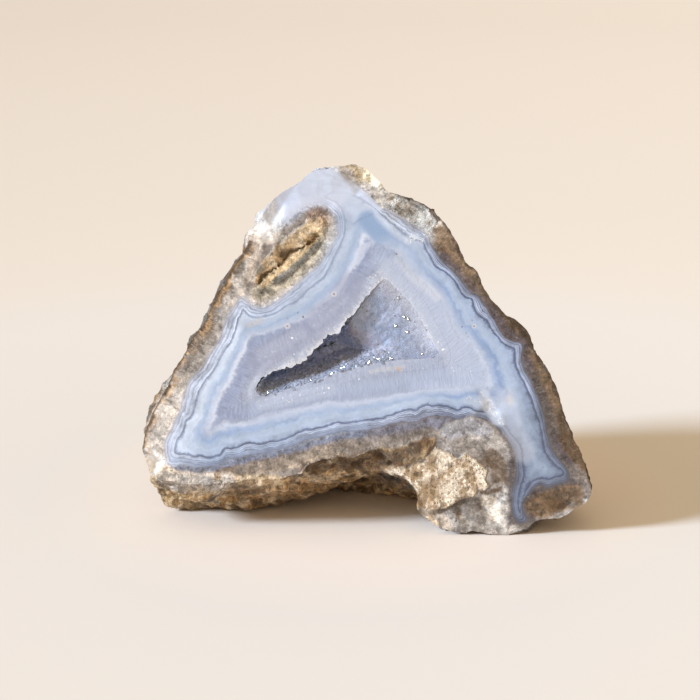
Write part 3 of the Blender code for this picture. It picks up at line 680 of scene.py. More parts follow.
plain_skin = skin_weight * (1.0 - zones["cream"]) * (1.0 - 0.4 * zones["golden"]) * (1.0 - 0.5 * zones["tip"])
weigh(stone, "skin", plain_skin)
weigh(stone, "fine", np.maximum(skin_weight * (1.0 - 0.7 * zones["tip"]), zones["moss"]) * (1.0 - zones["cream"]))
weigh(stone, "golden", zones["golden"] * skin_weight)
weigh(stone, "cream", zones["cream"])
weigh(stone, "inclusion", zones["inclusion"])
weigh(stone, "moss", np.maximum(zones["moss"], 0.2 * zones["tip"]) * ~rim)
weigh(stone, "lobe", zones["lobe"] * ~rim)
displace(stone, "skin", rough_texture("broad lumps", "CLOUDS", 6.0, noise_depth=1), 1.4)
displace(stone, "skin", rough_texture("bark lumps", "MUSGRAVE", 3.2, musgrave_type="RIDGED_MULTIFRACTAL"), 0.42, 1.0)
displace(stone, "fine", rough_texture("bark grain", "CLOUDS", 0.9, noise_depth=3), 0.36)
displace(stone, "golden", rough_texture("golden lumps", "CLOUDS", 3.4, noise_depth=2), 1.5)
displace(stone, "golden", rough_texture("golden grains", "VORONOI", 1.5), 0.8)
displace(stone, "golden", rough_texture("golden grit", "CLOUDS", 0.6, noise_depth=2), 0.3)
displace(stone, "cream", rough_texture("cream lumps", "CLOUDS", 2.4, noise_depth=2), 0.5)
displace(stone, "cream", rough_texture("cream pits", "VORONOI", 0.9), 0.62, 0.45)
displace(stone, "inclusion", rough_texture("inclusion grain", "CLOUDS", 0.9, noise_depth=3), 0.2, 0.6)
displace(stone, "moss", rough_texture("mossy grain", "VORONOI", 1.3), 0.5, 0.7)
displace(stone, "lobe", rough_texture("lobe swells", "CLOUDS", 3.0, noise_depth=2), 0.35, 0.6)

bpy.ops.object.vertex_group_remove(all=True)
places = places_of(stone)
places[:, 2] = np.maximum(places[:, 2], 0.0)
place_all(stone, places)
spots = on_face(places)
print("relief done; lowest", round(float(places[:, 2].min()) / MM, 2), "mm")

# %% The open crack of the inclusion
CRACK = traced([
    (317, 235), (311, 240), (305, 246.5), (297, 249.5), (288, 251), (284, 256), (282.5, 263), (276, 267),
    (269, 272), (262, 276), (259, 283),
])
CRACK_HALF_WIDTH = 0.19
CRACK_EXTRA_DEPTH = 0.8
HOLES = [(284.5, 255, 0.75), (265, 276, 0.7), (260.5, 280, 0.55), (310, 241.5, 0.35)]
ragged = spots[:, :2] + waver(spots, 0.7, 0.34)
away, _, _ = measure(ragged, CRACK, closed=False)
width = CRACK_HALF_WIDTH * (0.35 + 1.5 * patches(spots, 1.6, 41.0, -0.2, 0.35))
crack = soft_step(1.0 - away / (2.0 * width + 0.1))
for x, y, radius in HOLES:
    crack = np.maximum(crack, dot_strength(ragged, x, y, 0.6 * radius, 0.6 * radius))
crack = np.where(sheet, crack, 0.0)
spots[:, 2] += CRACK_EXTRA_DEPTH * crack
place_all(stone, in_part(spots))
print("crack:", int((crack > 0.5).sum()), "vertices")

# %% [markdown]
# ## The place of every point in the lace
# One number says where a point lies in the sequence of layers: below 0 outside the lace, 0 to 1 in the fine
# outer lines, 1 to 2 in the wide pale bands, 2 to 3 in the clear crystal, and past 3 in the hollow. It comes
# from the distances to the two nearest outlines. A second number runs along the bands, for the crystal
# fibres, which stand square to them. A material can then draw all bands with one colour ramp.
# %% The place of every point in the lace
LINE_STEPS = 2
THICKEST_LAYERS = 7.0
LACE_LINES = [smooth_line(line, LINE_STEPS) for line in (RIND_LINE, DARK_LINE, CRYSTAL_LINE, MOUTH)]


def lace_place(points):
    """Each point's place in the layers, and how far it lies along them in millimetres."""
    measured = [measure(points, line) for line in LACE_LINES]
    place = -measured[0][0]
    along = measured[0][1]
    for k in range(3):
        outer, run, within = measured[k]
        inner = np.minimum(measured[k + 1][0], THICKEST_LAYERS)
        place = np.where(within, k + outer / (outer + inner), place)
        along = np.where(within, run if k == 2 else measured[k + 1][1], along)
    outer, run, within = measured[3]
    return np.where(within, 3.0 + outer / 10.0, place), np.where(within, run, along)


def slate_side(points):
    """0 where the outer layers are pale, 1 on the right, most of it along the bottom, and 2 down the foot."""
    bottom_line = -23.0 + 0.147 * (points[:, 0] + 34.0)
    bottom = soft_step((9.0 - points[:, 1] + bottom_line) / 5.0) * soft_step((points[:, 0] + 36.0) / 8.0)
    foot = soft_step((-6.0 - points[:, 1]) / 8.0) * soft_step((points[:, 0] - 22.0) / 8.0)
    return np.maximum(soft_step((points[:, 0] - 9.0) / 9.0), 0.82 * bottom) + foot


def store(piece, name, values):
    """Keeps one number, or one colour with its amount, for each vertex."""
    kind = "FLOAT" if values.ndim == 1 else "FLOAT_COLOR"
    layer = piece.data.attributes.new(name, kind, "POINT")
    layer.data.foreach_set("value" if values.ndim == 1 else "color", values.astype(np.float32).ravel())


lace, lace_along = lace_place(spots[:, :2])
lace = np.where(spots[:, 2] > 9.0, -9.0, lace)
store(stone, "lace", lace)
store(stone, "along", lace_along)
store(stone, "slate", slate_side(spots[:, :2]))
print("in the lace:", int((lace > 0).sum()), "vertices of", len(lace))

# %% [markdown]
# ## Colours laid on one by one
# Rind, matrix, stains and the small eyes follow no formula. They are laid on like glazes with a brush: each
# stroke has a tone, a strength, a width and a line on the picture. The lace itself gets only a few thin
# glazes, where the real bands are bluer or whiter than elsewhere. Working on the vertices keeps the strokes
# on the stone from every side, and the material adds the fine grain later.
# %% Tones
TONES = {
    "milk": tone(193, 205, 231), "lavender": tone(196, 203, 228), "white": tone(250, 250, 252),
    "pale": tone(205, 211, 228), "sky": tone(134, 164, 207), "slate": tone(104, 108, 130),
    "beige": tone(208, 202, 199), "pink beige": tone(204, 194, 188), "warm grey": tone(134, 128, 127),
    "smoke": tone(122, 114, 116), "grey quartz": tone(178, 175, 175), "dark quartz": tone(92, 85, 82),
    "umber": tone(86, 68, 52), "light umber": tone(122, 101, 81), "dark umber": tone(62, 48, 36),
    "ochre": tone(196, 158, 112), "amber": tone(226, 196, 152), "tan": tone(228, 206, 176),
    "gold brown": tone(190, 152, 104), "rust": tone(150, 96, 54), "cream": tone(252, 236, 216),
    "cream shade": tone(208, 180, 152), "moss": tone(204, 205, 206), "straw": tone(238, 226, 200),
    "inclusion": tone(224, 198, 162), "sand": tone(218, 190, 150), "smoke quartz": tone(120, 117, 110),
    "reed": tone(178, 170, 152), "rose haze": tone(148, 156, 186), "blue grey": tone(148, 151, 165), "blue haze": tone(172, 188, 220),
    "quartz": tone(152, 165, 194), "blue shade": tone(138, 158, 192), "deep slate": tone(72, 70, 86), "dark brown": tone(88, 66, 46),
}
# Each stroke: tone, strength, half width and softness in millimetres, and its line on the picture.
RIND_STROKES = [
    ("warm grey", 1.0, 2.6, 1.4, [(236, 272), (224, 300), (206, 328), (192, 352), (182, 378)]),
    ("dark quartz", 0.55, 0.5, 0.7, [(224, 296), (213, 312), (206, 324)]),
    ("dark quartz", 0.5, 0.45, 0.6, [(214, 338), (205, 350), (197, 361)]),
    ("dark quartz", 0.6, 0.4, 0.6, [(192, 362), (186, 372), (180, 383)]),
    ("grey quartz", 0.5, 0.5, 0.8, [(232, 306), (222, 325), (212, 342), (200, 358), (190, 374)]),
    ("light umber", 0.5, 0.6, 0.8, [(216, 318), (203, 336), (193, 350)]),
    ("beige", 0.95, 1.9, 1.4, [(178, 388), (169, 408), (160, 430), (156, 450), (160, 466)]),
    ("pink beige", 0.9, 1.6, 1.2, [(246, 262), (238, 280), (232, 296)]),
    ("grey quartz", 0.8, 0.9, 0.8, [(244, 264), (240, 272), (238, 284)]),
    ("dark quartz", 0.7, 0.5, 0.5, [(242, 262), (238, 274)]),
    ("dark quartz", 0.6, 0.5, 0.5, [(247, 283), (250, 288)]),
    ("umber", 0.8, 0.7, 0.6, [(214, 302), (222, 291), (230, 287)]),
    ("dark umber", 0.8, 0.4, 0.4, [(225, 281), (232, 270), (238, 262)]),
    ("rust", 0.75, 0.6, 0.5, [(245, 253), (250, 244)]),
    ("beige", 0.9, 1.5, 1.0, [(252, 240), (262, 232), (270, 233)]),
    ("grey quartz", 0.6, 1.4, 1.0, [(254, 296), (266, 300), (276, 294), (290, 282), (304, 270), (316, 258)]),
    ("beige", 0.7, 0.9, 0.8, [(258, 297), (268, 300), (282, 290), (300, 276), (318, 256), (328, 238), (330, 222)]),
    ("pink beige", 0.8, 1.6, 1.2, [(372, 192), (386, 202), (396, 206)]),
    ("straw", 0.9, 1.2, 0.8, [(336, 168), (350, 166), (366, 172), (376, 182)]),
    ("amber", 0.5, 0.8, 0.8, [(356, 171), (366, 173), (370, 178)]),
    ("white", 0.7, 0.3, 0.3, [(344, 174), (347, 175)]),
    # The white here and on the next line lies on broken facets turned away from the window: partly their pale colour,
    # partly painted light on their shaded side.
    ("white", 1.0, 1.7, 0.8, [(271, 200), (272, 211), (267, 222)]),
    ("white", 1.0, 1.2, 0.6, [(146, 453), (149, 460), (151, 468)]),
    ("pink beige", 0.6, 0.8, 1.0, [(250, 240), (256, 246), (252, 256)]),
    ("grey quartz", 0.85, 0.8, 0.8, [(360, 184), (372, 190), (384, 195)]),
    ("pink beige", 0.8, 0.9, 0.7, [(352, 180), (364, 186), (376, 194), (388, 197)]),
    ("moss", 0.95, 1.6, 0.9, [(388, 202), (402, 206), (416, 214), (428, 222)]),
    ("light umber", 0.35, 0.5, 0.6, [(402, 203), (414, 208), (424, 214)]),
    ("slate", 0.6, 0.5, 0.5, [(386, 206), (396, 210), (404, 214)]),
    ("slate", 0.6, 0.5, 0.5, [(412, 226), (420, 228), (428, 226)]),
    # Partly painted light: white on a broken facet that is turned away from the window.
    ("white", 0.75, 1.1, 1.4, [(262, 208), (268, 216), (262, 226), (254, 226)]),
    ("dark umber", 0.8, 0.35, 0.3, [(400, 197), (404, 199)]),
    ("dark umber", 0.9, 0.35, 0.3, [(428, 207), (438, 215)]),
    ("beige", 0.9, 0.9, 0.6, [(432, 218), (438, 226), (442, 233)]),
    ("light umber", 0.9, 1.5, 1.0, [(441, 236), (456, 256), (474, 280), (494, 304)]),
    ("umber", 1.0, 2.2, 1.4, [(500, 310), (520, 334), (540, 362), (552, 392), (562, 424), (574, 456), (582, 480)]),
    ("dark brown", 0.7, 0.8, 0.6, [(441, 250), (446, 260)]),
    ("deep slate", 0.7, 0.5, 0.8, [(442, 255), (458, 272), (470, 288), (490, 308), (508, 334), (527, 344)]),
    ("deep slate", 0.75, 0.6, 0.8, [(527, 350), (529, 372), (541, 396), (549, 420), (554, 444), (566, 462), (573, 476)]),
    ("dark quartz", 0.7, 0.6, 0.7, [(535, 372), (547, 400), (555, 430)]),
    ("light umber", 0.6, 0.7, 0.8, [(532, 352), (548, 382), (558, 408)]),
    ("warm grey", 0.7, 0.9, 0.8, [(574, 470), (582, 482), (586, 492)]),
    ("deep slate", 0.9, 0.8, 0.8, [(570, 484), (548, 491), (536, 494), (528, 503), (531, 517)]),
    ("deep slate", 0.9, 0.7, 0.7, [(504, 442), (511, 458), (511, 478), (507, 498), (509, 516), (518, 528)]),
    ("light umber", 1.0, 1.8, 1.2, [(540, 506), (556, 500), (572, 496)]),
    ("umber", 0.55, 1.4, 0.8, [(534, 506), (548, 500), (562, 500), (576, 498), (584, 504)]),
    ("warm grey", 0.8, 0.8, 0.8, [(527, 528), (520, 531), (512, 530)]),
    ("grey quartz", 0.7, 0.8, 0.6, [(516, 530), (506, 534)]),
    ("light umber", 0.6, 1.2, 1.0, [(190, 474), (230, 470), (262, 464), (296, 456), (330, 446), (362, 440)]),
    ("slate", 0.9, 0.4, 0.5, [(176, 469), (200, 471), (226, 464), (256, 457), (296, 449), (330, 439), (362, 434)]),
    ("tan", 0.4, 0.5, 0.9, [(250, 470), (278, 466), (306, 458), (330, 452)]),
    ("slate", 0.9, 0.9, 0.9, [(362, 435), (384, 432), (404, 428), (424, 423), (446, 422), (462, 424)]),
    ("warm grey", 0.7, 0.8, 0.8, [(240, 470), (280, 463), (310, 454), (350, 444), (390, 440)]),
    ("dark quartz", 0.5, 0.6, 0.7, [(236, 474), (250, 470)]),
    ("dark quartz", 0.6, 0.5, 0.6, [(340, 445), (352, 448), (366, 443)]),
    ("dark quartz", 0.6, 0.5, 0.6, [(396, 437), (410, 433), (430, 430)]),
]
ROCK_STROKES = [
    ("tan", 0.85, 1.4, 1.2, [(166, 478), (190, 482), (215, 484), (245, 486), (275, 486)]),
    ("amber", 0.7, 0.8, 0.9, [(150, 480), (160, 490), (172, 500), (196, 503)]),
    ("white", 0.45, 0.7, 0.7, [(205, 482), (214, 488)]),
    ("beige", 0.8, 1.3, 1.0, [(166, 480), (186, 483), (206, 480), (226, 482)]),
    ("ochre", 0.6, 0.7, 0.7, [(230, 492), (262, 494), (300, 490), (330, 486)]),
    ("dark brown", 0.75, 0.9, 0.8, [(306, 470), (320, 468), (336, 461), (348, 466)]),
    ("dark brown", 0.6, 0.7, 0.7, [(360, 462), (380, 456), (404, 452), (424, 444)]),
    ("dark brown", 0.75, 0.4, 0.5, [(427, 438), (432, 446), (430, 455)]),
    ("tan", 0.8, 0.35, 0.35, [(304, 475), (315, 480), (326, 480), (336, 475), (343, 471)]),
    ("dark brown", 0.6, 0.5, 0.5, [(236, 486), (248, 492), (262, 489)]),
    ("dark brown", 0.5, 0.5, 0.6, [(280, 498), (300, 500), (330, 497), (360, 492)]),
    ("cream shade", 0.7, 0.6, 0.6, [(366, 464), (386, 468), (404, 472)]),
    ("grey quartz", 0.9, 0.8, 0.8, [(364, 187), (374, 191), (386, 196)]),
    ("dark brown", 0.55, 1.0, 0.9, [(346, 462), (364, 458), (382, 458), (402, 456), (416, 450)]),
]
LOBE_STROKES = [
    ("grey quartz", 0.9, 2.0, 1.0, [(454, 434), (470, 431), (486, 438), (498, 452)]),
    ("warm grey", 0.8, 1.0, 0.8, [(448, 440), (462, 444), (478, 448)]),
    ("umber", 0.85, 1.2, 0.9, [(490, 456), (499, 466), (500, 480)]),
    ("dark brown", 0.6, 0.7, 0.7, [(484, 462), (494, 464)]),
    ("dark quartz", 0.6, 0.5, 0.5, [(503, 452), (509, 470), (507, 490)]),
    ("grey quartz", 0.8, 1.0, 0.8, [(500, 490), (503, 508), (500, 524)]),
    ("dark quartz", 0.7, 1.0, 0.8, [(458, 508), (468, 508), (478, 504)]),
    ("grey quartz", 0.35, 1.0, 0.9, [(462, 520), (478, 522), (492, 526)]),
    ("blue grey", 0.85, 1.1, 0.9, [(450, 433), (460, 429), (474, 425), (484, 430)]),
    ("dark quartz", 0.6, 0.5, 0.5, [(470, 516), (482, 520)]),
    ("cream", 0.4, 0.8, 0.9, [(488, 500), (495, 508), (496, 516)]),
    ("beige", 0.7, 1.2, 0.9, [(424, 514), (436, 520), (446, 524)]),
    ("cream", 0.6, 0.4, 0.4, [(428, 519), (438, 524)]),
    ("dark brown", 0.9, 0.3, 0.3, [(481, 491), (490, 492), (500, 489)]),
    ("dark umber", 0.8, 0.4, 0.4, [(441, 511), (447, 507), (456, 503), (466, 500)]),
]
LACE_STROKES = [
    ("milk", 0.8, 2.6, 2.0, [(268, 206), (286, 198), (304, 190), (322, 180), (340, 184)]),
    ("milk", 0.5, 1.4, 1.6, [(340, 190), (356, 196), (368, 206)]),
    ("lavender", 0.5, 0.5, 0.8, [(284, 214), (302, 204), (322, 199), (338, 203), (347, 214)]),
    ("sky", 0.95, 1.1, 1.3, [(367, 219), (373, 227), (380, 235)]),
    ("sky", 0.65, 0.7, 0.7, [(388, 237), (394, 243)]),
    ("milk", 0.7, 0.35, 0.5, [(357, 262), (362, 254), (366, 246), (372, 242)]),
    ("white", 0.35, 0.5, 0.8, [(398, 258), (405, 268), (415, 279), (425, 286), (436, 297)]),
    ("slate", 0.35, 0.1, 0.14, [(353, 224), (362, 218), (373, 214)]),
    ("slate", 0.5, 0.08, 0.14, [(437, 256), (446, 263), (455, 271), (463, 281), (466, 288), (472, 294)]),
    ("quartz", 0.5, 1.4, 2.0, [(262, 398), (300, 390), (340, 382), (380, 376), (420, 369), (450, 364)]),
    ("pale", 0.35, 1.8, 1.6, [(462, 366), (450, 346), (432, 318), (412, 290), (392, 270)]),
    ("milk", 0.6, 0.3, 0.4, [(270, 362), (263, 368), (258, 376), (254, 384), (250, 390), (250, 396)]),
    ("cream", 0.15, 0.2, 0.3, [(370, 372), (386, 369), (405, 366)]),
    ("ochre", 0.6, 0.2, 0.25, [(398, 368), (400, 369)]),
    ("pale", 0.3, 1.2, 1.8, [(506, 398), (510, 414), (514, 432), (524, 452)]),
    ("beige", 0.5, 0.1, 1.0, [(508, 398), (511, 403)]),
    # Partly painted light: the dent at the right break faces away from the window, and this milk tone lightens its
    # shaded side.
    ("milk", 0.6, 0.8, 0.9, [(485, 396), (488, 405), (494, 414), (497, 420)]),
    ("sky", 0.22, 0.9, 0.9, [(176, 465), (200, 467), (226, 460), (256, 453), (296, 445), (330, 436), (362, 430)]),
    ("milk", 0.2, 0.4, 1.0, [(346, 214), (340, 232), (333, 252), (322, 270), (306, 288), (284, 303)]),
    ("beige", 0.6, 0.4, 0.6, [(249, 325), (254, 323), (260, 321)]),
    ("rose haze", 0.6, 1.9, 1.8, [(258, 362), (282, 346), (312, 328), (338, 304), (350, 286)]),
    ("blue haze", 0.5, 2.2, 2.4, [(388, 254), (410, 278), (436, 310), (458, 344), (468, 370)]),
    ("blue haze", 0.5, 1.6, 2.0, [(262, 412), (310, 400), (370, 392), (430, 384), (474, 376)]),
    ("blue shade", 0.4, 2.0, 2.2, [(258, 326), (284, 313), (306, 297), (324, 276), (338, 252), (344, 228)]),
    ("blue shade", 0.25, 1.6, 2.2, [(352, 214), (372, 226), (396, 244), (420, 262)]),
]
INCLUSION_STROKES = [
    ("rust", 0.35, 1.0, 1.2, [(314, 214), (322, 216), (326, 224)]),
    ("reed", 0.8, 1.0, 0.8, [(258, 292), (268, 291), (282, 283), (298, 271), (314, 257), (325, 243), (330, 230)]),
    ("smoke quartz", 0.95, 0.75, 0.4, [(307, 252), (314, 248), (318, 244)]),
    ("smoke quartz", 0.95, 0.7, 0.4, [(298, 264), (305, 258)]),
    ("smoke quartz", 0.95, 0.95, 0.45, [(279, 280), (285, 275), (292, 269)]),
    ("grey quartz", 0.5, 0.2, 0.25, [(280, 276), (290, 269)]),
    ("sand", 0.95, 0.45, 0.3, [(318, 232), (313, 240), (305, 249.5), (296, 257.5), (288, 264), (280, 270), (270, 279), (262, 286)]),
    ("smoke quartz", 0.8, 0.5, 0.4, [(257, 292), (261, 294)]),
    ("smoke quartz", 0.8, 0.5, 0.4, [(267, 291), (272, 293)]),
    ("smoke quartz", 0.6, 0.5, 0.5, [(259, 271), (263, 268)]),
]
# Frosted breaks, where the chalcedony splintered: strength, half width, softness and line.
FROST = [
    (1.0, 0.9, 1.2, [(263, 203), (270, 206), (276, 214), (275, 226)]),
    (0.8, 0.8, 1.2, [(256, 214), (262, 226), (268, 232)]),
    (1.0, 0.9, 0.8, [(149, 453), (151, 460), (153, 468)]),
    (0.75, 0.3, 1.2, [(482, 393), (490, 404), (496, 416), (500, 422)]),
    (0.55, 0.6, 1.3, [(470, 400), (486, 404), (494, 410)]),
    (0.4, 0.5, 1.3, [(498, 392), (500, 406), (501, 420)]),
    (0.7, 0.5, 0.9, [(408, 240), (415, 238), (421, 240)]),
    (0.8, 0.5, 0.8, [(423, 227), (428, 232), (432, 238)]),
    (0.5, 0.4, 0.7, [(441, 433), (452, 427), (463, 421), (472, 416)]),
    (0.55, 0.4, 0.6, [(174, 392), (180, 402)]),
    (0.45, 0.8, 1.2, [(232, 296), (226, 306), (220, 318)]),
    (0.4, 0.9, 1.4, [(165, 408), (160, 424), (158, 440)]),
    (0.5, 0.5, 0.8, [(205, 478), (212, 486), (218, 490)]),
    (0.45, 0.6, 1.0, [(180, 476), (196, 478)]),
    (0.4, 0.8, 1.2, [(262, 354), (282, 344), (300, 334)]),
    (0.35, 0.8, 1.2, [(314, 322), (330, 310), (342, 298)]),
    (0.4, 0.7, 1.2, [(262, 404), (300, 397), (330, 390)]),
]
# The small round eyes and specks in the bands: place on the picture, radius in millimetres, and whether
# a pale ring lies round it.
EYES = [
    (287.5, 326, 0.24, True), (303, 317, 0.22, False), (288, 318, 0.16, False), (298, 313, 0.16, False),
    (334, 294, 0.24, True), (252.5, 324, 0.12, False), (262, 336, 0.14, False), (396.5, 254, 0.2, False),
    (472, 320, 0.14, False), (474, 326, 0.2, True), (462, 327, 0.13, False), (466, 333, 0.13, False),
    (468, 337, 0.13, False), (543, 467, 0.14, False),
]
# White dots painted on the sawn face where tiny points of broken quartz flash: painted glints, place and radius.
PAINTED_GLINTS = [
    (292, 338, 0.3), (294, 354, 0.24), (438, 342, 0.3), (443, 349.5, 0.34), (452, 368, 0.2), (454, 371, 0.2),
    (471, 371, 0.16), (329, 388, 0.36), (324, 393, 0.26), (317, 388, 0.2), (359, 379, 0.26), (300, 395, 0.22),
    (283, 398, 0.18), (289, 402, 0.16), (276, 389, 0.16), (427, 326, 0.22), (432, 337, 0.2), (369, 363.5, 0.4),
]
print(len(RIND_STROKES) + len(ROCK_STROKES) + len(LOBE_STROKES) + len(LACE_STROKES), "strokes,", len(EYES), "eyes")

# %% Lay the strokes on
def brush(points, line, half_width, soft):
    """1 under the brush drawn along a line on the picture, falling to 0 over the softness."""
    line = traced(line)
    reach = half_width + soft
    near = np.all((points[:, :2] > line.min(0) - reach) & (points[:, :2] < line.max(0) + reach), axis=1)
    strength = np.zeros(len(points))
    away, _, _ = measure(points[near], line, closed=False)
    strength[near] = soft_step(1.0 - (away - half_width) / soft)
    return strength


class Glazes:
    """Colour and amount for each vertex, built up from glazes."""

    def __init__(self, count):
        self.colour = np.zeros((count, 3))
        self.amount = np.zeros(count)

    def lay(self, name, strength):
        """Lays a tone over what is there, with one strength for each vertex."""
        strength = np.clip(strength, 0.0, 1.0)
        total = self.amount * (1.0 - strength) + strength
        share = np.divide(strength, total, out=np.zeros_like(total), where=total > 0)
        self.colour += (TONES[name] - self.colour) * share[:, None]
        self.amount = total

    def stroke(self, points, where, name, strength, half_width, soft, line):
        self.lay(name, strength * brush(points, line, half_width, soft) * where)

    def layer(self):
        return np.concatenate((self.colour, self.amount[:, None]), 1)


def glaze_lace(glazes, points, shaken, where):
    """The thin glazes on the sawn lace, and its small eyes."""
    for stroke in LACE_STROKES:
        glazes.stroke(0.5 * (points + shaken), where, *stroke)
    foot = np.clip(slate_side(points) - 1.0, 0.0, 1.0)
    place, _ = lace_place(points)
    glazes.lay("dark quartz", 0.5 * foot * soft_step((0.4 - place) / 0.5) * soft_step((place + 0.9) / 0.4) * where)


seen = as_seen(spots)
shaken = seen + waver(spots)
stone.data.vertices.foreach_get("normal", normals)
facing = -normals.reshape(-1, 3) @ INTO
front = np.where(sheet, 1.0, soft_step((facing + 0.1) / 0.35) * soft_step((27.0 - spots[:, 2]) / 4.0))
glazes = Glazes(len(spots))
outside = soft_step(0.5 - lace / 0.5) * (lace < 0.9)
glazes.lay("warm grey", np.maximum(outside, skin))
pale_haze = soft_step((lace + 1.4) / 1.3) * outside
glazes.lay("milk", 0.6 * pale_haze * sheet * (1.0 - slate_side(spots[:, :2])))

rock = skin.astype(float)
glazes.lay("umber", rock * patches(spots, 9.0, 1.0, -0.25, 0.15))
glazes.lay("light umber", 0.8 * rock * patches(spots, 5.0, 3.0, 0.0, 0.3))
glazes.lay("grey quartz", 0.6 * rock * patches(spots, 7.0, 5.0, 0.12, 0.35))
glazes.lay("ochre", 0.5 * rock * patches(spots, 3.6, 7.0, 0.15, 0.4))
glazes.lay("dark umber", 0.6 * rock * patches(spots, 2.4, 9.0, 0.12, 0.42))
glazes.lay("cream shade", 0.6 * rock * patches(spots, 6.0, 11.0, 0.25, 0.45))

golden = zones["golden"]
glazes.lay("gold brown", golden)
glazes.lay("amber", 0.9 * golden * patches(spots, 3.2, 13.0, -0.15, 0.2))
glazes.lay("tan", golden * patches(spots, 1.9, 15.0, -0.06, 0.16))
glazes.lay("dark brown", 0.75 * golden * patches(spots, 2.6, 17.0, 0.04, 0.22))
glazes.lay("straw", 0.8 * zones["tip"])
for stroke in RIND_STROKES:
    glazes.stroke(shaken, front * np.maximum(outside, rock), *stroke)
glazes.lay("straw", 0.65 * zones["tip"])
glazes.lay("moss", 0.55 * zones["moss"])
for stroke in ROCK_STROKES:
    glazes.stroke(shaken, front * np.maximum(outside, rock), *stroke)

lobe = zones["lobe"]
glazes.lay("grey quartz", 0.9 * lobe)
glazes.lay("warm grey", 0.6 * lobe)
for stroke in LOBE_STROKES:
    glazes.stroke(shaken, front * np.maximum(outside, rock), *stroke)
cream = zones["cream"]
glazes.lay("cream", cream)
glazes.lay("cream shade", 0.4 * cream * patches(spots, 1.3, 19.0, 0.08, 0.35))

inclusion = zones["inclusion"]
glazes.lay("inclusion", 0.95 * inclusion)
glazes.lay("tan", 0.6 * inclusion * patches(spots, 1.2, 21.0, 0.1, 0.35))
glazes.lay("dark brown", 0.15 * inclusion * patches(spots, 0.9, 23.0, 0.15, 0.4))
for stroke in INCLUSION_STROKES:
    glazes.stroke(shaken, sheet, *stroke)
# Painted shade: dark umber laid along the sunk crack and its holes.
glazes.lay("dark umber", 0.7 * crack)

BARK_LINE = 0.32
away, _, _ = measure(spots[:, :2], edge_curve)
line_width = BARK_LINE * (0.4 + 1.6 * patches(spots, 2.6, 25.0, -0.3, 0.35))
left_edge = (spots[:, 0] < -18.0) & (spots[:, 1] > -21.0) & (spots[:, 1] < 22.0)
right_edge = (spots[:, 0] > 8.0) & (spots[:, 1] > -14.0)
glazes.lay("ochre", 0.6 * sheet * left_edge * soft_step(1.0 - (away - 2.2 * line_width) / 0.4))
glazes.lay("dark umber", 0.85 * sheet * (left_edge | right_edge) * soft_step(1.0 - (away - line_width) / 0.25))

blue_edge = (spots[:, 0] > -17.5) & (spots[:, 0] < -4.0) & (spots[:, 1] > 26.0)
blue_skin = rock * soft_step((8.0 - spots[:, 2]) / 6.0) * soft_step((measure(seen, LACE_LINES[0])[0]) / 1.0)
blue_skin *= measure(seen, LACE_LINES[0])[2]
glazes.lay("milk", blue_skin)
glaze_lace(glazes, spots[:, :2], shaken, sheet.astype(float))
store(stone, "paint", glazes.layer())
smoother = 1.0 - 0.65 * zones["tip"] - 0.4 * zones["moss"] - 0.35 * lobe
store(stone, "rock", np.maximum.reduce([rock, golden, cream, 0.65 * inclusion, 0.8 * zones["moss"]]) * smoother)
store(stone, "cream", cream)


def frost_at(points):
    frost = np.zeros(len(points))
    for strength, half_width, soft, line in FROST:
        frost = np.maximum(frost, strength * brush(points, line, half_width, soft))
    return frost


store(stone, "frost", frost_at(shaken) * front)
print("painted", int((glazes.amount > 0.5).sum()), "vertices")

# %% [markdown]
# ## The crust of quartz points
# In the hollow the last layer of quartz grew freely, so its wall is a sugar of small six-sided points. From
# the right the wall slides in gently to a crease. Left of the crease lies a dark pocket, under a ledge that
# hangs over it. Below, the wall drops steeply behind a crest. So the depth of each place on the wall comes
# from its distances to the ledge, the crest, the right side and the crease. The wall is a set of rings that
# shrink from the mouth to the pocket, laid down to that depth.
# %% Shape of the hollow
LEDGE = MOUTH[0:16]
RIGHT_SIDE = MOUTH[15:21]
CREST = np.vstack((MOUTH[20:], MOUTH[:1]))
POCKET = traced([
    (345, 316), (350, 322), (355, 332), (363, 342), (376, 350), (394, 353.5), (410, 357), (400, 372),
    (330, 396), (240, 410), (230, 392), (262, 352), (310, 322), (335, 308),
])
CREASE_DEPTH = 2.3
POCKET_DEPTH = 6.0
POCKET_FALL = 3.0
LEDGE_STEEP = 5.0
CREST_STEEP = 1.5
UNDERCUT = 1.4
UNDERCUT_WAY = np.array((-0.68, 0.73))
POCKET_MIDDLE = np.array((-2.0, 1.8))
CRUST_DEPTH = 1.5
HOLLOW_CENTRE = np.array((-1.0, 1.5))
# Depth, scale, shift right and shift up of each ring of the socket's wall, as in the solid.
SOCKET_RINGS = np.array([
    (0.0, 1.0, 0.0, 0.0), (1.5, 0.98, -0.5, 0.3), (3.5, 0.92, -1.3, 0.8), (5.5, 0.83, -2.1, 1.3),
    (7.5, 0.71, -2.7, 1.6), (9.3, 0.55, -3.0, 1.8), (10.6, 0.36, -3.0, 1.8), (11.2, 0.0, -3.0, 1.8),
])
RING_POINTS = 260
INNER_RINGS = 46
RIM_RINGS = 9
RIM_OVERLAP = 0.55
RIM_PROUD = 0.02
RIM_DIP = 0.25


def even_ring(corners, count):
    """Evenly spaced points on the smooth closed curve through the corners, from its first corner on."""
    fine = smooth_line(corners, 12)
    closed = np.vstack((fine, fine[:1]))
    runs = np.concatenate(((0.0,), np.cumsum(np.hypot(*np.diff(closed, axis=0).T))))
    goals = np.linspace(0.0, runs[-1], count, endpoint=False)
    return np.stack([np.interp(goals, runs, closed[:, k]) for k in (0, 1)], 1)


def open_distance(places, line):
    return measure(places, line, closed=False)[0]


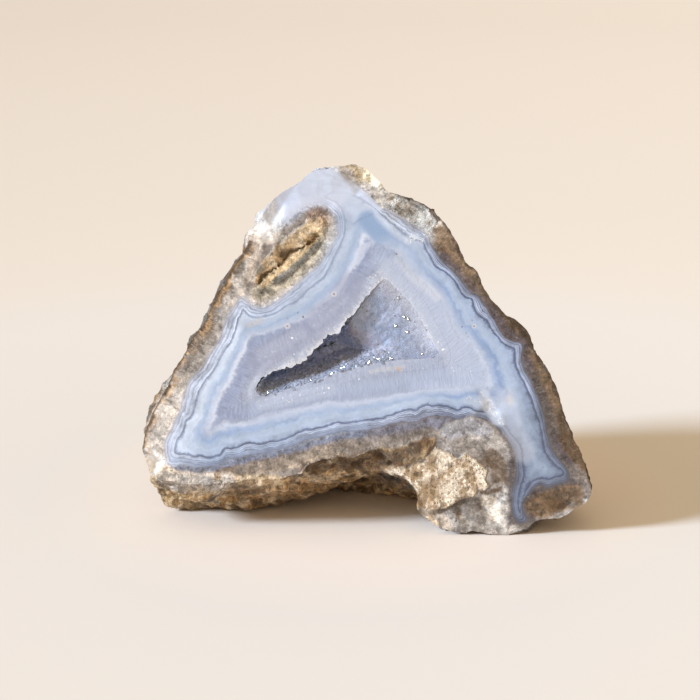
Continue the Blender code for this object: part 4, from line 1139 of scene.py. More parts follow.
def hollow_depth(flat):
    """Depth of the wall of the hollow at places on the face, and the undercut there, in millimetres."""
    to_crease, _, in_pocket = measure(flat, POCKET)
    to_right = open_distance(flat, RIGHT_SIDE)
    to_ledge = open_distance(flat, LEDGE)
    edge = CREASE_DEPTH * (0.3 + 0.7 * soft_step(to_ledge / 5.0))
    slope = edge * to_right / (to_right + to_crease + 1e-6)
    pocket = edge + (POCKET_DEPTH - edge) * soft_step(to_crease / POCKET_FALL)
    pocket *= 0.35 + 0.65 * soft_step((flat[:, 0] + 19.5) / 7.0)
    depth = np.where(in_pocket, pocket, slope)
    ledge_steep = 0.8 + (LEDGE_STEEP - 0.8) * soft_step((3.0 - flat[:, 0]) / 4.0)
    depth = np.minimum(depth, ledge_steep * to_ledge)
    crest_steep = 0.3 + (CREST_STEEP - 0.3) * soft_step((9.0 - flat[:, 0]) / 9.0)
    depth = np.minimum(depth, crest_steep * open_distance(flat, CREST))
    near_ledge = soft_step(1.0 - to_ledge / 3.5) * soft_step((flat[:, 0] + 18.5) / 5.0)
    return depth, UNDERCUT * near_ledge * np.sin(np.pi * np.clip(depth / (1.25 * POCKET_DEPTH), 0.0, 1.0))


def socket_wall(mouth, gap, deepen):
    """Rings of places down the wall of the socket behind the crust."""
    rings = []
    for depth in np.arange(0.0, SOCKET_RINGS[-1, 0] - 0.3, gap):
        scale, right, up = (np.interp(depth, SOCKET_RINGS[:, 0], SOCKET_RINGS[:, k]) for k in (1, 2, 3))
        flat = HOLLOW_CENTRE + (mouth - HOLLOW_CENTRE) * scale + np.array((right, up))
        rings.append(np.column_stack((flat, np.full(len(flat), depth * deepen))))
    return rings


print("pocket", POCKET_DEPTH, "mm deep, crease", CREASE_DEPTH, "mm")

# %% Wall of the hollow
mouth_ring = even_ring(MOUTH, RING_POINTS)
for k, place in enumerate(mouth_ring):
    nick = noise.noise_vector(Vector((*place, 3.0)) / 0.7) * 0.5 + noise.noise_vector(Vector((*place, 5.0)) / 2.2) * 0.35
    mouth_ring[k] = place + np.array(nick[:2]) * (1.0 - 0.85 * float(soft_step((place[0] - 1.0) / 7.0)))
socket_ring = even_ring(SOCKET_MOUTH, RING_POINTS)
outward = np.roll(socket_ring, -1, axis=0) - np.roll(socket_ring, 1, axis=0)
outward = np.stack((-outward[:, 1], outward[:, 0]), 1) / np.hypot(*outward.T)[:, None]
middle_side = np.sign(np.sum(outward * (socket_ring - socket_ring.mean(0)), 1).sum())
wide_ring = socket_ring + outward * middle_side * RIM_OVERLAP
dip = RIM_DIP * soft_step(1.0 - open_distance(mouth_ring, CREST) / 1.5)
dip *= soft_step((mouth_ring[:, 0] + 19.0) / 4.0) * soft_step((16.5 - mouth_ring[:, 0]) / 4.0)

inner_rings = []
for share in np.linspace(0.0, 1.0, INNER_RINGS + 1)[:-1] ** 1.25:
    flat = mouth_ring + (POCKET_MIDDLE - mouth_ring) * share
    depth, undercut = hollow_depth(flat)
    depth = np.maximum(depth, -RIM_PROUD) + dip * (1.0 - share) ** 6
    if share == 0.0:
        depth, undercut = dip - RIM_PROUD, 0.0 * undercut
    inner_rings.append(np.column_stack((flat + undercut[:, None] * UNDERCUT_WAY, depth)))
for ring in inner_rings[1:]:
    for k, place in enumerate(ring):
        lump = noise.noise_vector(Vector(place) / 2.6) * 0.17 + noise.noise_vector(Vector(place) / 0.9) * 0.16
        ring[k] = place + np.array(lump) * min(place[2] / 1.2, 1.0)
rim_rings = []
for share in np.linspace(0.0, 1.0, RIM_RINGS + 2)[1:-1]:
    flat = mouth_ring + (wide_ring - mouth_ring) * share
    rim_rings.append(np.column_stack((flat, dip * (1.0 - share) ** 1.3 - RIM_PROUD)))
outer_rings = socket_wall(wide_ring, 1.6, 1.0 + CRUST_DEPTH / SOCKET_RINGS[-1, 0])
outer_rings[0][:, 2] = -RIM_PROUD
rings = inner_rings[::-1] + rim_rings + outer_rings
inner_end = inner_rings[-1].mean(0)
outer_end = np.append(HOLLOW_CENTRE + SOCKET_RINGS[-1, 2:], SOCKET_RINGS[-1, 0] + CRUST_DEPTH)
corners = np.vstack(rings + [inner_end[None], outer_end[None]])
quads = []
for level in range(len(rings) - 1):
    for k in range(RING_POINTS):
        after = (k + 1) % RING_POINTS
        a, b = level * RING_POINTS, (level + 1) * RING_POINTS
        quads.append((a + k, b + k, b + after, a + after))
inner_tip, outer_tip = len(corners) - 2, len(corners) - 1
last = (len(rings) - 1) * RING_POINTS
caps = [(inner_tip, k, (k + 1) % RING_POINTS) for k in range(RING_POINTS)]
caps += [(outer_tip, last + (k + 1) % RING_POINTS, last + k) for k in range(RING_POINTS)]
wall_mesh = bpy.data.meshes.new("quartz_crust")
wall_mesh.from_pydata(in_part(corners).tolist(), [], quads + caps)
crust = bpy.data.objects.new("quartz_crust", wall_mesh)
bpy.context.scene.collection.objects.link(crust)
only(crust)
bpy.ops.object.mode_set(mode="EDIT")
bpy.ops.mesh.select_all(action="SELECT")
bpy.ops.mesh.quads_convert_to_tris()
bpy.ops.mesh.normals_make_consistent(inside=False)
bpy.ops.object.mode_set(mode="OBJECT")
WALL_START = INNER_RINGS * RING_POINTS
RIM_END = WALL_START + (RIM_RINGS + 1) * RING_POINTS
print("wall:", len(corners), "vertices; its inner wall has the first", WALL_START)

# %% One quartz point
POINT_RADIUS = 0.5
POINT_FOOT = 0.55
POINT_SHOULDER = 0.22
POINT_TIP = 0.78
bpy.ops.object.select_all(action="DESELECT")
bpy.ops.mesh.primitive_cylinder_add(
    vertices=6, radius=POINT_RADIUS * MM, depth=(POINT_FOOT + POINT_SHOULDER) * MM, end_fill_type="NGON",
    location=(0, 0, 0.5 * (POINT_SHOULDER - POINT_FOOT) * MM),
)
point = bpy.context.object
only(point)
bpy.ops.object.transform_apply(location=True)
top = [face.normal.z > 0.9 for face in point.data.polygons]
selection(point, "FACE", top)
bpy.ops.mesh.extrude_region_move(TRANSFORM_OT_translate={"value": (0.0, 0.0, (POINT_TIP - POINT_SHOULDER) * MM)})
bpy.ops.transform.resize(value=(0.12, 0.03, 1.0))
bpy.ops.object.mode_set(mode="OBJECT")
bottom = [face.normal.z < -0.9 for face in point.data.polygons]
selection(point, "FACE", bottom)
bpy.ops.mesh.delete(type="ONLY_FACE")
bpy.ops.mesh.select_all(action="SELECT")
bpy.ops.mesh.quads_convert_to_tris()
bpy.ops.object.mode_set(mode="OBJECT")
point_places = places_of(point) / MM
point_faces = [tuple(face.vertices) for face in point.data.polygons]
slopes = [face.normal.copy() for face in point.data.polygons if 0.2 < face.normal.z < 0.95]
bpy.data.objects.remove(point, do_unlink=True)
print("one point:", len(point_places), "vertices,", len(point_faces), "triangles")

# %% Plant the points on the wall
SLOPE_GAP, POCKET_GAP, CREST_GAP = 0.6, 0.7, 0.58
SLOPE_HEIGHT, POCKET_HEIGHT, CREST_HEIGHT = 0.05, 0.11, 0.075
POINT_LEAN = 0.2
POINT_SEED = 7
CANDIDATES = 30000


def turned_to(axis, spin):
    """Turns Z to the axis, and spins about it."""
    return axis.to_track_quat("Z", "Y").to_matrix() @ Matrix.Rotation(spin, 3, "Z")


def wall_samples(piece, chosen, count, rng):
    """Random places on the chosen triangles, even by area, each with the normal there."""
    faces = [piece.data.polygons[k] for k in chosen]
    corners = places_of(piece)
    areas = np.cumsum([face.area for face in faces])
    samples = []
    for pick in sorted(rng.random() * areas[-1] for _ in range(count)):
        face = faces[int(np.searchsorted(areas, pick))]
        a, b, c = (corners[face.vertices[k]] for k in (0, 1, 2))
        s, t = math.sqrt(rng.random()), rng.random()
        samples.append((a * (1 - s) + b * s * (1 - t) + c * s * t, face.normal.copy()))
    rng.shuffle(samples)
    return samples


def spaced(samples, spots, gaps):
    """Keeps the samples that stand at least their gap from all kept before. Returns their numbers."""
    cells = {}
    kept = []
    for number, (spot, gap) in enumerate(zip(spots, gaps)):
        cell = tuple(np.floor(spot).astype(int))
        near = []
        for i in (-1, 0, 1):
            for j in (-1, 0, 1):
                for k in (-1, 0, 1):
                    near += cells.get((cell[0] + i, cell[1] + j, cell[2] + k), [])
        if all(np.linalg.norm(spot - other) > gap for other in near):
            cells.setdefault(cell, []).append(spot)
            kept.append(number)
    return kept


def points_mesh(name, plans):
    """One mesh of many points. Each plan is a place, a turn as a matrix, a width and a height."""
    all_places, all_faces = [], []
    for place, turn, width, height in plans:
        start = len(all_places) * len(point_places)
        shaped = point_places * np.array((width, width, height)) @ np.array(turn).T
        spots = on_face(place + shaped * MM)
        spots[:, 2] = np.maximum(spots[:, 2], -RIM_PROUD)
        all_places.append(in_part(spots))
        all_faces += [tuple(start + corner for corner in face) for face in point_faces]
    mesh = bpy.data.meshes.new(name)
    mesh.from_pydata(np.vstack(all_places).tolist(), [], all_faces)
    piece = bpy.data.objects.new(name, mesh)
    bpy.context.scene.collection.objects.link(piece)
    return piece


rng = random.Random(POINT_SEED)
inner_faces = [face.index for face in crust.data.polygons if max(face.vertices) < WALL_START]
samples = wall_samples(crust, inner_faces, CANDIDATES, rng)
sample_spots = on_face(np.array([place for place, _ in samples]))
on_crest = soft_step(1.0 - open_distance(sample_spots[:, :2], CREST) / 3.0)
along_crest = (open_distance(sample_spots[:, :2], CREST) < 2.4) & (sample_spots[:, 0] < 8.0)
planted = along_crest | (sample_spots[:, 2] > CREASE_DEPTH + 0.4)
samples = [sample for sample, kept in zip(samples, planted) if kept]
sample_spots, on_crest = sample_spots[planted], on_crest[planted]
to_edge, _, inside = measure(sample_spots[:, :2], POCKET)
in_pocket = np.where(inside, soft_step(to_edge / 1.5), 0.0)
gaps = np.where(in_pocket > 0.5, POCKET_GAP, np.where(on_crest > 0.3, CREST_GAP, SLOPE_GAP))
talls = SLOPE_HEIGHT + (POCKET_HEIGHT - SLOPE_HEIGHT) * in_pocket
talls += (CREST_HEIGHT - SLOPE_HEIGHT) * on_crest * (1.0 - in_pocket)
plans = []
for number in spaced(samples, sample_spots, gaps):
    place, normal = samples[number]
    lean = Vector([rng.uniform(-POINT_LEAN, POINT_LEAN) for _ in range(3)])
    axis = (normal + lean).normalized()
    width = gaps[number] * rng.uniform(0.8, 1.5)
    height = talls[number] * rng.uniform(0.3, 1.0) ** 2 * 2.6
    plans.append((place, turned_to(axis, rng.uniform(0.0, math.tau)), width, height))
points = points_mesh("quartz_points", plans)
print(len(plans), "points,", len(points.data.polygons), "triangles")

# %% [markdown]
# ## Points that flash
# A druse sparkles where a crystal face mirrors the window into the eye. At the places where the picture
# shows a flash, one point is turned until a face of its tip stands exactly halfway between the window and
# the camera. From other sides they are ordinary points.
# %% Points that flash
FLASHES = [
    (379, 278.5, 0.7), (386, 287, 0.7), (391.5, 290.5, 0.8), (398, 298, 0.9), (395.5, 326, 0.9), (404, 317, 0.8),
    (408, 319, 0.9), (407.5, 332, 0.9), (416, 311, 0.6), (420, 315, 0.7), (423, 320, 0.8), (428.5, 331, 0.7),
    (438, 342, 0.8), (443, 349.5, 0.9), (439, 357, 0.7), (422, 354, 0.7), (405, 362, 1.25), (369, 363, 1.3),
    (378, 359, 0.8), (391, 358.5, 0.9), (341, 368.5, 0.7), (344, 367, 0.7), (332, 374, 1.2), (311, 380, 0.6),
    (317, 388, 0.7), (307, 388, 0.6), (324, 393, 0.8), (329, 388, 1.1), (300, 395, 0.8), (359, 379, 0.7),
    (292, 338, 0.8), (294, 354, 0.7), (283, 398, 0.6), (452, 368, 0.6), (454, 371, 0.6), (471, 371, 0.5),
    (494, 378, 0.6), (268, 393, 0.6), (276, 388, 0.5), (262, 396, 0.5), (289, 402, 0.5), (352, 371, 0.5),
]
FLASH_SHRINK = 0.85
FLASH_SINK = 0.34
slope = max(slopes, key=lambda normal: normal.x)


def seen_place(x, y, trees):
    """The first place on the stone that the camera sees at a picture point."""
    eye = Vector(FACE_MIDDLE - INTO * CAMERA_DISTANCE * MM)
    target = Vector(in_part(np.array((*traced([(x, y)])[0], 0.0))))
    ray = (target - eye).normalized()
    hits = [hit for hit in (tree.ray_cast(eye, ray) for tree in trees) if hit[0]]
    return min(hits, key=lambda hit: hit[3])


def tree_of(piece):
    return BVHTree.FromPolygons([v.co for v in piece.data.vertices], [tuple(f.vertices) for f in piece.data.polygons])


trees = [tree_of(stone), tree_of(crust)]
eye = Vector(FACE_MIDDLE - INTO * CAMERA_DISTANCE * MM)
plans = []
for x, y, size in FLASHES:
    place, normal, _, _ = seen_place(x, y, trees)
    if on_face(np.array(place))[2] < 0.2:
        continue
    halfway = (WINDOW_FROM.normalized() + (eye - place).normalized()).normalized()
    to_halfway = slope.rotation_difference(halfway).to_matrix()
    spins = [Matrix.Rotation(k * math.tau / 24, 3, halfway) @ to_halfway for k in range(24)]
    best = max(spins, key=lambda turn: (turn @ Vector((0, 0, 1))).dot(normal))
    width = FLASH_SHRINK * size
    sunk = np.array(place - normal * FLASH_SINK * width * MM)
    plans.append((sunk, best, width, width))
flashes = points_mesh("flash_points", plans)
print(len(plans), "flashes")

# %% Paint the crust
# Strokes on the crust. The grey-brown wall strokes are painted shade, on the back wall under the ledge and along the
# crease; the dark brown one is a stain below the ledge.
WALL_STROKES = [
    ("shade-painted wall", 0.3, 2.4, 2.0, [(300, 366), (318, 352), (336, 345), (352, 346), (366, 350)]),
    ("dark brown", 0.45, 0.3, 0.7, [(348, 320), (351, 327), (354, 334)]),
    ("shade-painted wall", 0.3, 0.6, 0.8, [(353, 330), (364, 342), (380, 350), (398, 352)]),
    ("cream", 0.35, 0.4, 0.5, [(396, 362), (404, 360)]),
]
# The wall tone is painted shade. The deep tone is lighter and bluer, a painted glow for light through the quartz and
# the blue of its shade. The crest tone is painted shade against the strong window light on the crest.
TONES["shade-painted wall"] = tone(160, 156, 174)
TONES["glow-painted deep wall"] = tone(156, 178, 230)
TONES["shade-painted crest quartz"] = tone(150, 162, 192)
TONES["face quartz"] = tone(186, 190, 206)


def paint_wall(spots):
    """The quartz is pale at the mouth; deeper in it is painted lighter and bluer as a glow, painted shade keeps the
    back wall, crease and crest darker, and a brown stain lies below the ledge.
    """
    glazes = Glazes(len(spots))
    glazes.lay("quartz", np.ones(len(spots)))
    # Painted glow: deeper inside, the wall turns lighter and bluer.
    glazes.lay("glow-painted deep wall", 0.9 * soft_step((spots[:, 2] - 1.0) / 5.0))
    glazes.lay("face quartz", 0.85 * soft_step(1.0 - open_distance(spots[:, :2], RIGHT_SIDE) / 5.0))
    # Painted shade: the crest is painted darker, against the window light it catches.
    glazes.lay("shade-painted crest quartz", 0.8 * soft_step(1.0 - open_distance(spots[:, :2], CREST) / 3.2))
    shaken = as_seen(spots) + waver(spots)
    deep = soft_step((spots[:, 2] - 0.3) / 0.9)
    for stroke in WALL_STROKES:
        glazes.stroke(shaken, deep, *stroke)
    glazes.lay("lavender", 0.25 * patches(spots, 2.5, 31.0, 0.05, 0.4))
    return glazes


for piece in (points, flashes):
    store(piece, "paint", paint_wall(on_face(places_of(piece))).layer())
crust_spots = on_face(places_of(crust))
crust_lace, crust_along = lace_place(crust_spots[:, :2])
on_rim = np.zeros(len(crust_spots), bool)
on_rim[WALL_START - RING_POINTS:RIM_END] = True
wall = paint_wall(crust_spots)
rim_glazes = Glazes(len(crust_spots))
glaze_lace(rim_glazes, crust_spots[:, :2], crust_spots[:, :2] + waver(crust_spots), np.ones(len(crust_spots)))
# Painted highlight: a faint white line along the lip of the ledge.
rim_glazes.lay("white", 0.15 * soft_step(1.0 - open_distance(crust_spots[:, :2], LEDGE) / 0.5))
# Painted shade on the rim at the crest too.
rim_glazes.lay("shade-painted crest quartz", 0.5 * soft_step(1.0 - open_distance(crust_spots[:, :2], CREST) / 2.2))
layer = np.where(on_rim[:, None], rim_glazes.layer(), wall.layer())
store(crust, "paint", layer)
store(crust, "lace", crust_lace)
store(crust, "along", crust_along)
store(crust, "slate", slate_side(crust_spots[:, :2]))
store(crust, "rock", np.zeros(len(crust_spots)))
store(crust, "cream", np.zeros(len(crust_spots)))
store(crust, "frost", frost_at(crust_spots[:, :2]))
print("crust painted")

# %% [markdown]
# ## Shared effects
# Four effects are used by more than one finish, so each is a node group: flecks, cloudy mottling, broken
# grain and the drawing of the lace. A group keeps the material short, and a change to it reaches every
# finish. They give colours, masks and values only; each material has its own shader.
# %% Shared effects
def new_group(name, inputs, outputs):
    """A shader node group with named sockets. Returns it with its inner input and output nodes."""
    group = bpy.data.node_groups.new(name, "ShaderNodeTree")
    for label, kind, value in inputs:
        socket = group.interface.new_socket(name=label, in_out="INPUT", socket_type="NodeSocket" + kind)
        if value is not None:
            socket.default_value = value
    for label, kind in outputs:
        group.interface.new_socket(name=label, in_out="OUTPUT", socket_type="NodeSocket" + kind)
    return group, group.nodes.new("NodeGroupInput"), group.nodes.new("NodeGroupOutput")


def use_group(tree, group, **values):
    made = tree.nodes.new("ShaderNodeGroup")
    made.node_tree = group
    for label, value in values.items():
        made.inputs[label].default_value = value
    return made


def maths(tree, operation, first, second=None):
    """A Math node on sockets or plain numbers. Returns its output."""
    made = tree.nodes.new("ShaderNodeMath")
    made.operation = operation
    for slot, value in enumerate((first, second)):
        if value is None:
            continue
        if isinstance(value, (int, float)):
            made.inputs[slot].default_value = value
        else:
            tree.links.new(value, made.inputs[slot])
    return made.outputs["Value"]


def between(tree, value, low, high, to_low=0.0, to_high=1.0, smooth=True):
    """Maps a value from one range to another, clamped."""
    made = tree.nodes.new("ShaderNodeMapRange")
    made.interpolation_type = "SMOOTHSTEP" if smooth else "LINEAR"
    tree.links.new(value, made.inputs["Value"])
    made.inputs["From Min"].default_value = low
    made.inputs["From Max"].default_value = high
    made.inputs["To Min"].default_value = to_low
    made.inputs["To Max"].default_value = to_high
    return made.outputs["Result"]


def mixed(tree, amount, first, second, kind="MIX"):
    """A colour mix. Colours may be sockets or linear triples."""
    made = tree.nodes.new("ShaderNodeMix")
    made.data_type = "RGBA"
    made.blend_type = kind
    sockets = {"factor": made.inputs[0], "a": made.inputs[6], "b": made.inputs[7]}
    for key, value in (("factor", amount), ("a", first), ("b", second)):
        if isinstance(value, (int, float)):
            sockets[key].default_value = value
        elif isinstance(value, bpy.types.NodeSocket):
            tree.links.new(value, sockets[key])
        else:
            sockets[key].default_value = (*value, 1.0)
    return made.outputs[2]


flecks, given, result = new_group(
    "flecks",
    [("Vector", "Vector", None), ("Scale", "Float", 1000.0), ("Size", "Float", 0.3), ("Share", "Float", 0.2)],
    [("Mask", "Float")],
)
cells = node(flecks, "TexVoronoi")
flecks.links.new(given.outputs["Vector"], cells.inputs["Vector"])
flecks.links.new(given.outputs["Scale"], cells.inputs["Scale"])
near = maths(flecks, "DIVIDE", cells.outputs["Distance"], given.outputs["Size"])
round_mask = between(flecks, near, 1.0, 0.5)
lottery = node(flecks, "SeparateColor")
flecks.links.new(cells.outputs["Color"], lottery.inputs["Color"])
picked = maths(flecks, "LESS_THAN", lottery.outputs["Red"], given.outputs["Share"])
flecks.links.new(maths(flecks, "MULTIPLY", round_mask, picked), result.inputs["Mask"])

mottling, given, result = new_group(
    "mottling",
    [("Vector", "Vector", None), ("Scale", "Float", 400.0), ("Low", "Float", 0.35), ("High", "Float", 0.65)],
    [("Value", "Float")],
)
clouds = node(mottling, "TexNoise", {"Detail": 5.0, "Roughness": 0.6})
mottling.links.new(given.outputs["Vector"], clouds.inputs["Vector"])
mottling.links.new(given.outputs["Scale"], clouds.inputs["Scale"])
spread = node(mottling, "MapRange")
mottling.links.new(clouds.outputs["Fac"], spread.inputs["Value"])
mottling.links.new(given.outputs["Low"], spread.inputs["From Min"])
mottling.links.new(given.outputs["High"], spread.inputs["From Max"])
mottling.links.new(spread.outputs["Result"], result.inputs["Value"])
grain, given, result = new_group(
    "grain",
    [("Vector", "Vector", None), ("Scale", "Float", 1000.0), ("Strength", "Float", 0.5)],
    [("Light", "Float"), ("Height", "Float"), ("Lot", "Float")],
)
warp = node(grain, "TexNoise", {"Scale": 1900.0, "Detail": 3.0})
grain.links.new(given.outputs["Vector"], warp.inputs["Vector"])
moved = node(grain, "VectorMath", operation="MULTIPLY_ADD")
grain.links.new(warp.outputs["Color"], moved.inputs[0])
moved.inputs[1].default_value = (0.0015, 0.0015, 0.0015)
grain.links.new(given.outputs["Vector"], moved.inputs[2])
crystals = node(grain, "TexVoronoi")
grain.links.new(moved.outputs["Vector"], crystals.inputs["Vector"])
grain.links.new(given.outputs["Scale"], crystals.inputs["Scale"])
lot = node(grain, "SeparateColor")
grain.links.new(crystals.outputs["Color"], lot.inputs["Color"])
ground = node(grain, "TexNoise", {"Detail": 8.0, "Roughness": 0.72})
grain.links.new(given.outputs["Vector"], ground.inputs["Vector"])
grain.links.new(maths(grain, "MULTIPLY", given.outputs["Scale"], 0.55), ground.inputs["Scale"])
cell_light = between(grain, lot.outputs["Red"], 0.0, 1.0, -0.42, 0.42, smooth=False)
ground_light = between(grain, ground.outputs["Fac"], 0.3, 0.7, -1.0, 1.0, smooth=False)
uneven = maths(grain, "MULTIPLY", maths(grain, "ADD", cell_light, ground_light), given.outputs["Strength"])
grain.links.new(maths(grain, "ADD", uneven, 1.0), result.inputs["Light"])
heights = maths(grain, "SUBTRACT", ground.outputs["Fac"], maths(grain, "MULTIPLY", crystals.outputs["Distance"], 0.35))
grain.links.new(heights, result.inputs["Height"])
grain.links.new(lot.outputs["Green"], result.inputs["Lot"])
eye, given, result = new_group(
    "eye",
    [("Vector", "Vector", None), ("Centre", "Vector", None), ("Radius", "Float", 0.0003)],
    [("Dark", "Float"), ("Ring", "Float")],
)
apart = node(eye, "VectorMath", operation="DISTANCE")
eye.links.new(given.outputs["Vector"], apart.inputs[0])
eye.links.new(given.outputs["Centre"], apart.inputs[1])
share = maths(eye, "DIVIDE", apart.outputs["Value"], given.outputs["Radius"])
eye.links.new(between(eye, share, 1.15, 0.6), result.inputs["Dark"])
eye.links.new(between(eye, share, 3.0, 1.8), result.inputs["Ring"])
print("groups:", [group.name for group in bpy.data.node_groups])

# %% [markdown]
# ## The drawing of the lace
# Each band is a layer of chalcedony that grew in its own time, so its tone depends only on its place in the
# sequence. A colour ramp over that place draws them all at once. On the right and along the foot the outer
# layers are dark slate, elsewhere pale, so there are two ramps and a mask between them. A finer set of lines
# comes from a noise that runs only across the layers, and it fades in and out. Towards the hollow the layers
# turn to crystal, where fibres stand square to the bands.
# %% The drawing of the lace
LACE_FROM, LACE_TO = -0.4, 3.2
# Place in the layers and tone there, from just outside the lace to inside the hollow.
PALE_SIDE = [
    (-0.40, (178, 176, 186)), (-0.05, (178, 188, 213)), (0.07, (158, 170, 199)), (0.15, (188, 199, 222)),
    (0.27, (186, 197, 222)), (0.34, (150, 161, 194)), (0.42, (188, 200, 226)), (0.54, (190, 205, 231)),
    (0.62, (156, 171, 205)), (0.70, (194, 208, 236)), (0.82, (190, 206, 234)), (0.87, (204, 219, 246)),
    (0.93, (148, 161, 193)), (1.01, (142, 156, 189)), (1.06, (186, 203, 232)), (1.12, (200, 215, 241)),
    (1.30, (192, 209, 237)), (1.40, (174, 193, 226)), (1.48, (166, 187, 222)), (1.58, (170, 191, 226)),
    (1.70, (187, 202, 231)), (1.82, (202, 212, 236)), (1.90, (178, 188, 215)), (1.98, (142, 154, 187)),
    (2.18, (142, 155, 189)), (2.34, (152, 165, 198)), (2.50, (150, 162, 192)), (2.92, (172, 183, 208)),
    (3.00, (196, 202, 220)), (3.20, (172, 180, 204)),
]
SLATE_SIDE = [
    (-0.40, (110, 98, 92)), (-0.08, (94, 90, 98)), (0.04, (70, 74, 96)), (0.13, (84, 90, 114)),
    (0.20, (122, 134, 166)), (0.28, (112, 122, 154)), (0.38, (140, 153, 184)), (0.46, (78, 84, 108)),
    (0.55, (162, 178, 210)), (0.64, (122, 136, 170)), (0.72, (172, 189, 221)), (0.81, (118, 132, 166)),
    (0.85, (166, 184, 216)), (0.92, (88, 100, 134)), (1.015, (90, 104, 140)), (1.07, (146, 166, 202)),
    (1.20, (158, 178, 212)), (1.36, (166, 186, 218)), (1.47, (157, 179, 215)), (1.57, (134, 159, 204)),
    (1.66, (144, 167, 208)), (1.76, (160, 179, 214)), (1.84, (172, 187, 217)), (1.95, (190, 204, 231)),
    (2.05, (183, 196, 227)), (2.30, (160, 175, 210)), (2.60, (162, 177, 212)), (2.90, (166, 180, 212)),
    (3.00, (192, 202, 224)), (3.20, (172, 180, 204)),
]
drawing, given, result = new_group(
    "lace drawing",
    [("Vector", "Vector", None), ("Lace", "Float", 0.0), ("Along", "Float", 0.0), ("Slate", "Float", 0.0)],
    [("Color", "Color"), ("Crystal", "Float"), ("Relief", "Float")],
)
shake = node(drawing, "TexNoise", {"Scale": 800.0, "Detail": 3.0})
drift = node(drawing, "TexNoise", {"Scale": 160.0, "Detail": 1.0})
for texture in (shake, drift):
    drawing.links.new(given.outputs["Vector"], texture.inputs["Vector"])
sway = maths(drawing, "MULTIPLY", maths(drawing, "SUBTRACT", shake.outputs["Fac"], 0.5), 0.34)
sway = maths(drawing, "ADD", sway, maths(drawing, "MULTIPLY", maths(drawing, "SUBTRACT", drift.outputs["Fac"], 0.5), 0.26))
near_dark = between(drawing, maths(drawing, "ABSOLUTE", maths(drawing, "SUBTRACT", given.outputs["Lace"], 0.99)), 0.0, 0.3, 0.3, 1.0)
layer_place = maths(drawing, "ADD", given.outputs["Lace"], maths(drawing, "MULTIPLY", sway, near_dark))
ragged_edge = node(drawing, "TexNoise", {"Scale": 2300.0, "Detail": 2.0})
drawing.links.new(given.outputs["Vector"], ragged_edge.inputs["Vector"])
ragged_amount = between(drawing, given.outputs["Lace"], 1.05, 1.4, 0.09, 0.03)
ragged_shift = maths(drawing, "MULTIPLY", maths(drawing, "SUBTRACT", ragged_edge.outputs["Fac"], 0.5), ragged_amount)
layer_place = maths(drawing, "ADD", layer_place, ragged_shift)
fibre_place = node(drawing, "CombineXYZ")
drawing.links.new(maths(drawing, "MULTIPLY", given.outputs["Along"], 2.0), fibre_place.inputs["X"])
drawing.links.new(maths(drawing, "MULTIPLY", layer_place, 2.6), fibre_place.inputs["Y"])
fibre = node(drawing, "TexNoise", {"Scale": 1.0, "Detail": 5.0, "Roughness": 0.65, "Distortion": 0.6})
drawing.links.new(fibre_place.outputs["Vector"], fibre.inputs["Vector"])
at_edge = between(drawing, maths(drawing, "ABSOLUTE", maths(drawing, "SUBTRACT", layer_place, 2.0)), 0.0, 0.4, 0.34, 0.0)
feather = maths(drawing, "MULTIPLY", maths(drawing, "SUBTRACT", fibre.outputs["Fac"], 0.5), at_edge)
feathered = maths(drawing, "ADD", layer_place, feather)
on_ramp = between(drawing, feathered, LACE_FROM, LACE_TO, smooth=False)
ramps = []
for tones in (PALE_SIDE, SLATE_SIDE):
    ramp = node(drawing, "ValToRGB")
    set_ramp(ramp, [((q - LACE_FROM) / (LACE_TO - LACE_FROM), tone(*shown)) for q, shown in tones])
    drawing.links.new(on_ramp, ramp.inputs["Fac"])
    ramps.append(ramp.outputs["Color"])
banded = mixed(drawing, given.outputs["Slate"], *ramps)
crystal = between(drawing, layer_place, 1.93, 2.12)

fine_lines = node(drawing, "TexNoise", {"Scale": 1.0, "Detail": 3.0, "Roughness": 0.6}, noise_dimensions="2D")
line_place = node(drawing, "CombineXYZ")
drawing.links.new(maths(drawing, "MULTIPLY", layer_place, 6.0), line_place.inputs["X"])
drawing.links.new(maths(drawing, "MULTIPLY", given.outputs["Along"], 0.16), line_place.inputs["Y"])
drawing.links.new(line_place.outputs["Vector"], fine_lines.inputs["Vector"])
line_amount = between(drawing, layer_place, 0.9, 1.25, 1.4, 0.42)
line_light = maths(drawing, "MULTIPLY", maths(drawing, "SUBTRACT", fine_lines.outputs["Fac"], 0.5), line_amount)
clouds = use_group(drawing, mottling, Scale=420.0, Low=0.3, High=0.7)
drawing.links.new(given.outputs["Vector"], clouds.inputs["Vector"])
patchy = maths(drawing, "MULTIPLY", maths(drawing, "SUBTRACT", clouds.outputs["Value"], 0.5), line_amount)
line_light = maths(drawing, "ADD", maths(drawing, "ADD", line_light, maths(drawing, "MULTIPLY", patchy, 0.45)), 0.99)

fan_place = node(drawing, "CombineXYZ")
drawing.links.new(maths(drawing, "MULTIPLY", given.outputs["Along"], 0.5), fan_place.inputs["X"])
drawing.links.new(maths(drawing, "MULTIPLY", layer_place, 3.4), fan_place.inputs["Y"])
fans = node(drawing, "TexNoise", {"Scale": 1.0, "Detail": 3.0, "Roughness": 0.5, "Distortion": 0.4})
drawing.links.new(fan_place.outputs["Vector"], fans.inputs["Vector"])
fibre_amount = between(drawing, given.outputs["Slate"], 0.0, 1.0, 1.1, 0.7)
fibre_light = maths(
    drawing, "ADD", maths(drawing, "SUBTRACT", fibre.outputs["Fac"], 0.5),
    between(drawing, fans.outputs["Fac"], 0.3, 0.7, -0.07, 0.07, smooth=False),
)
fibre_light = maths(drawing, "ADD", maths(drawing, "MULTIPLY", fibre_light, fibre_amount), 0.99)
blotches = maths(drawing, "MULTIPLY", maths(drawing, "SUBTRACT", clouds.outputs["Value"], 0.5), 0.14)
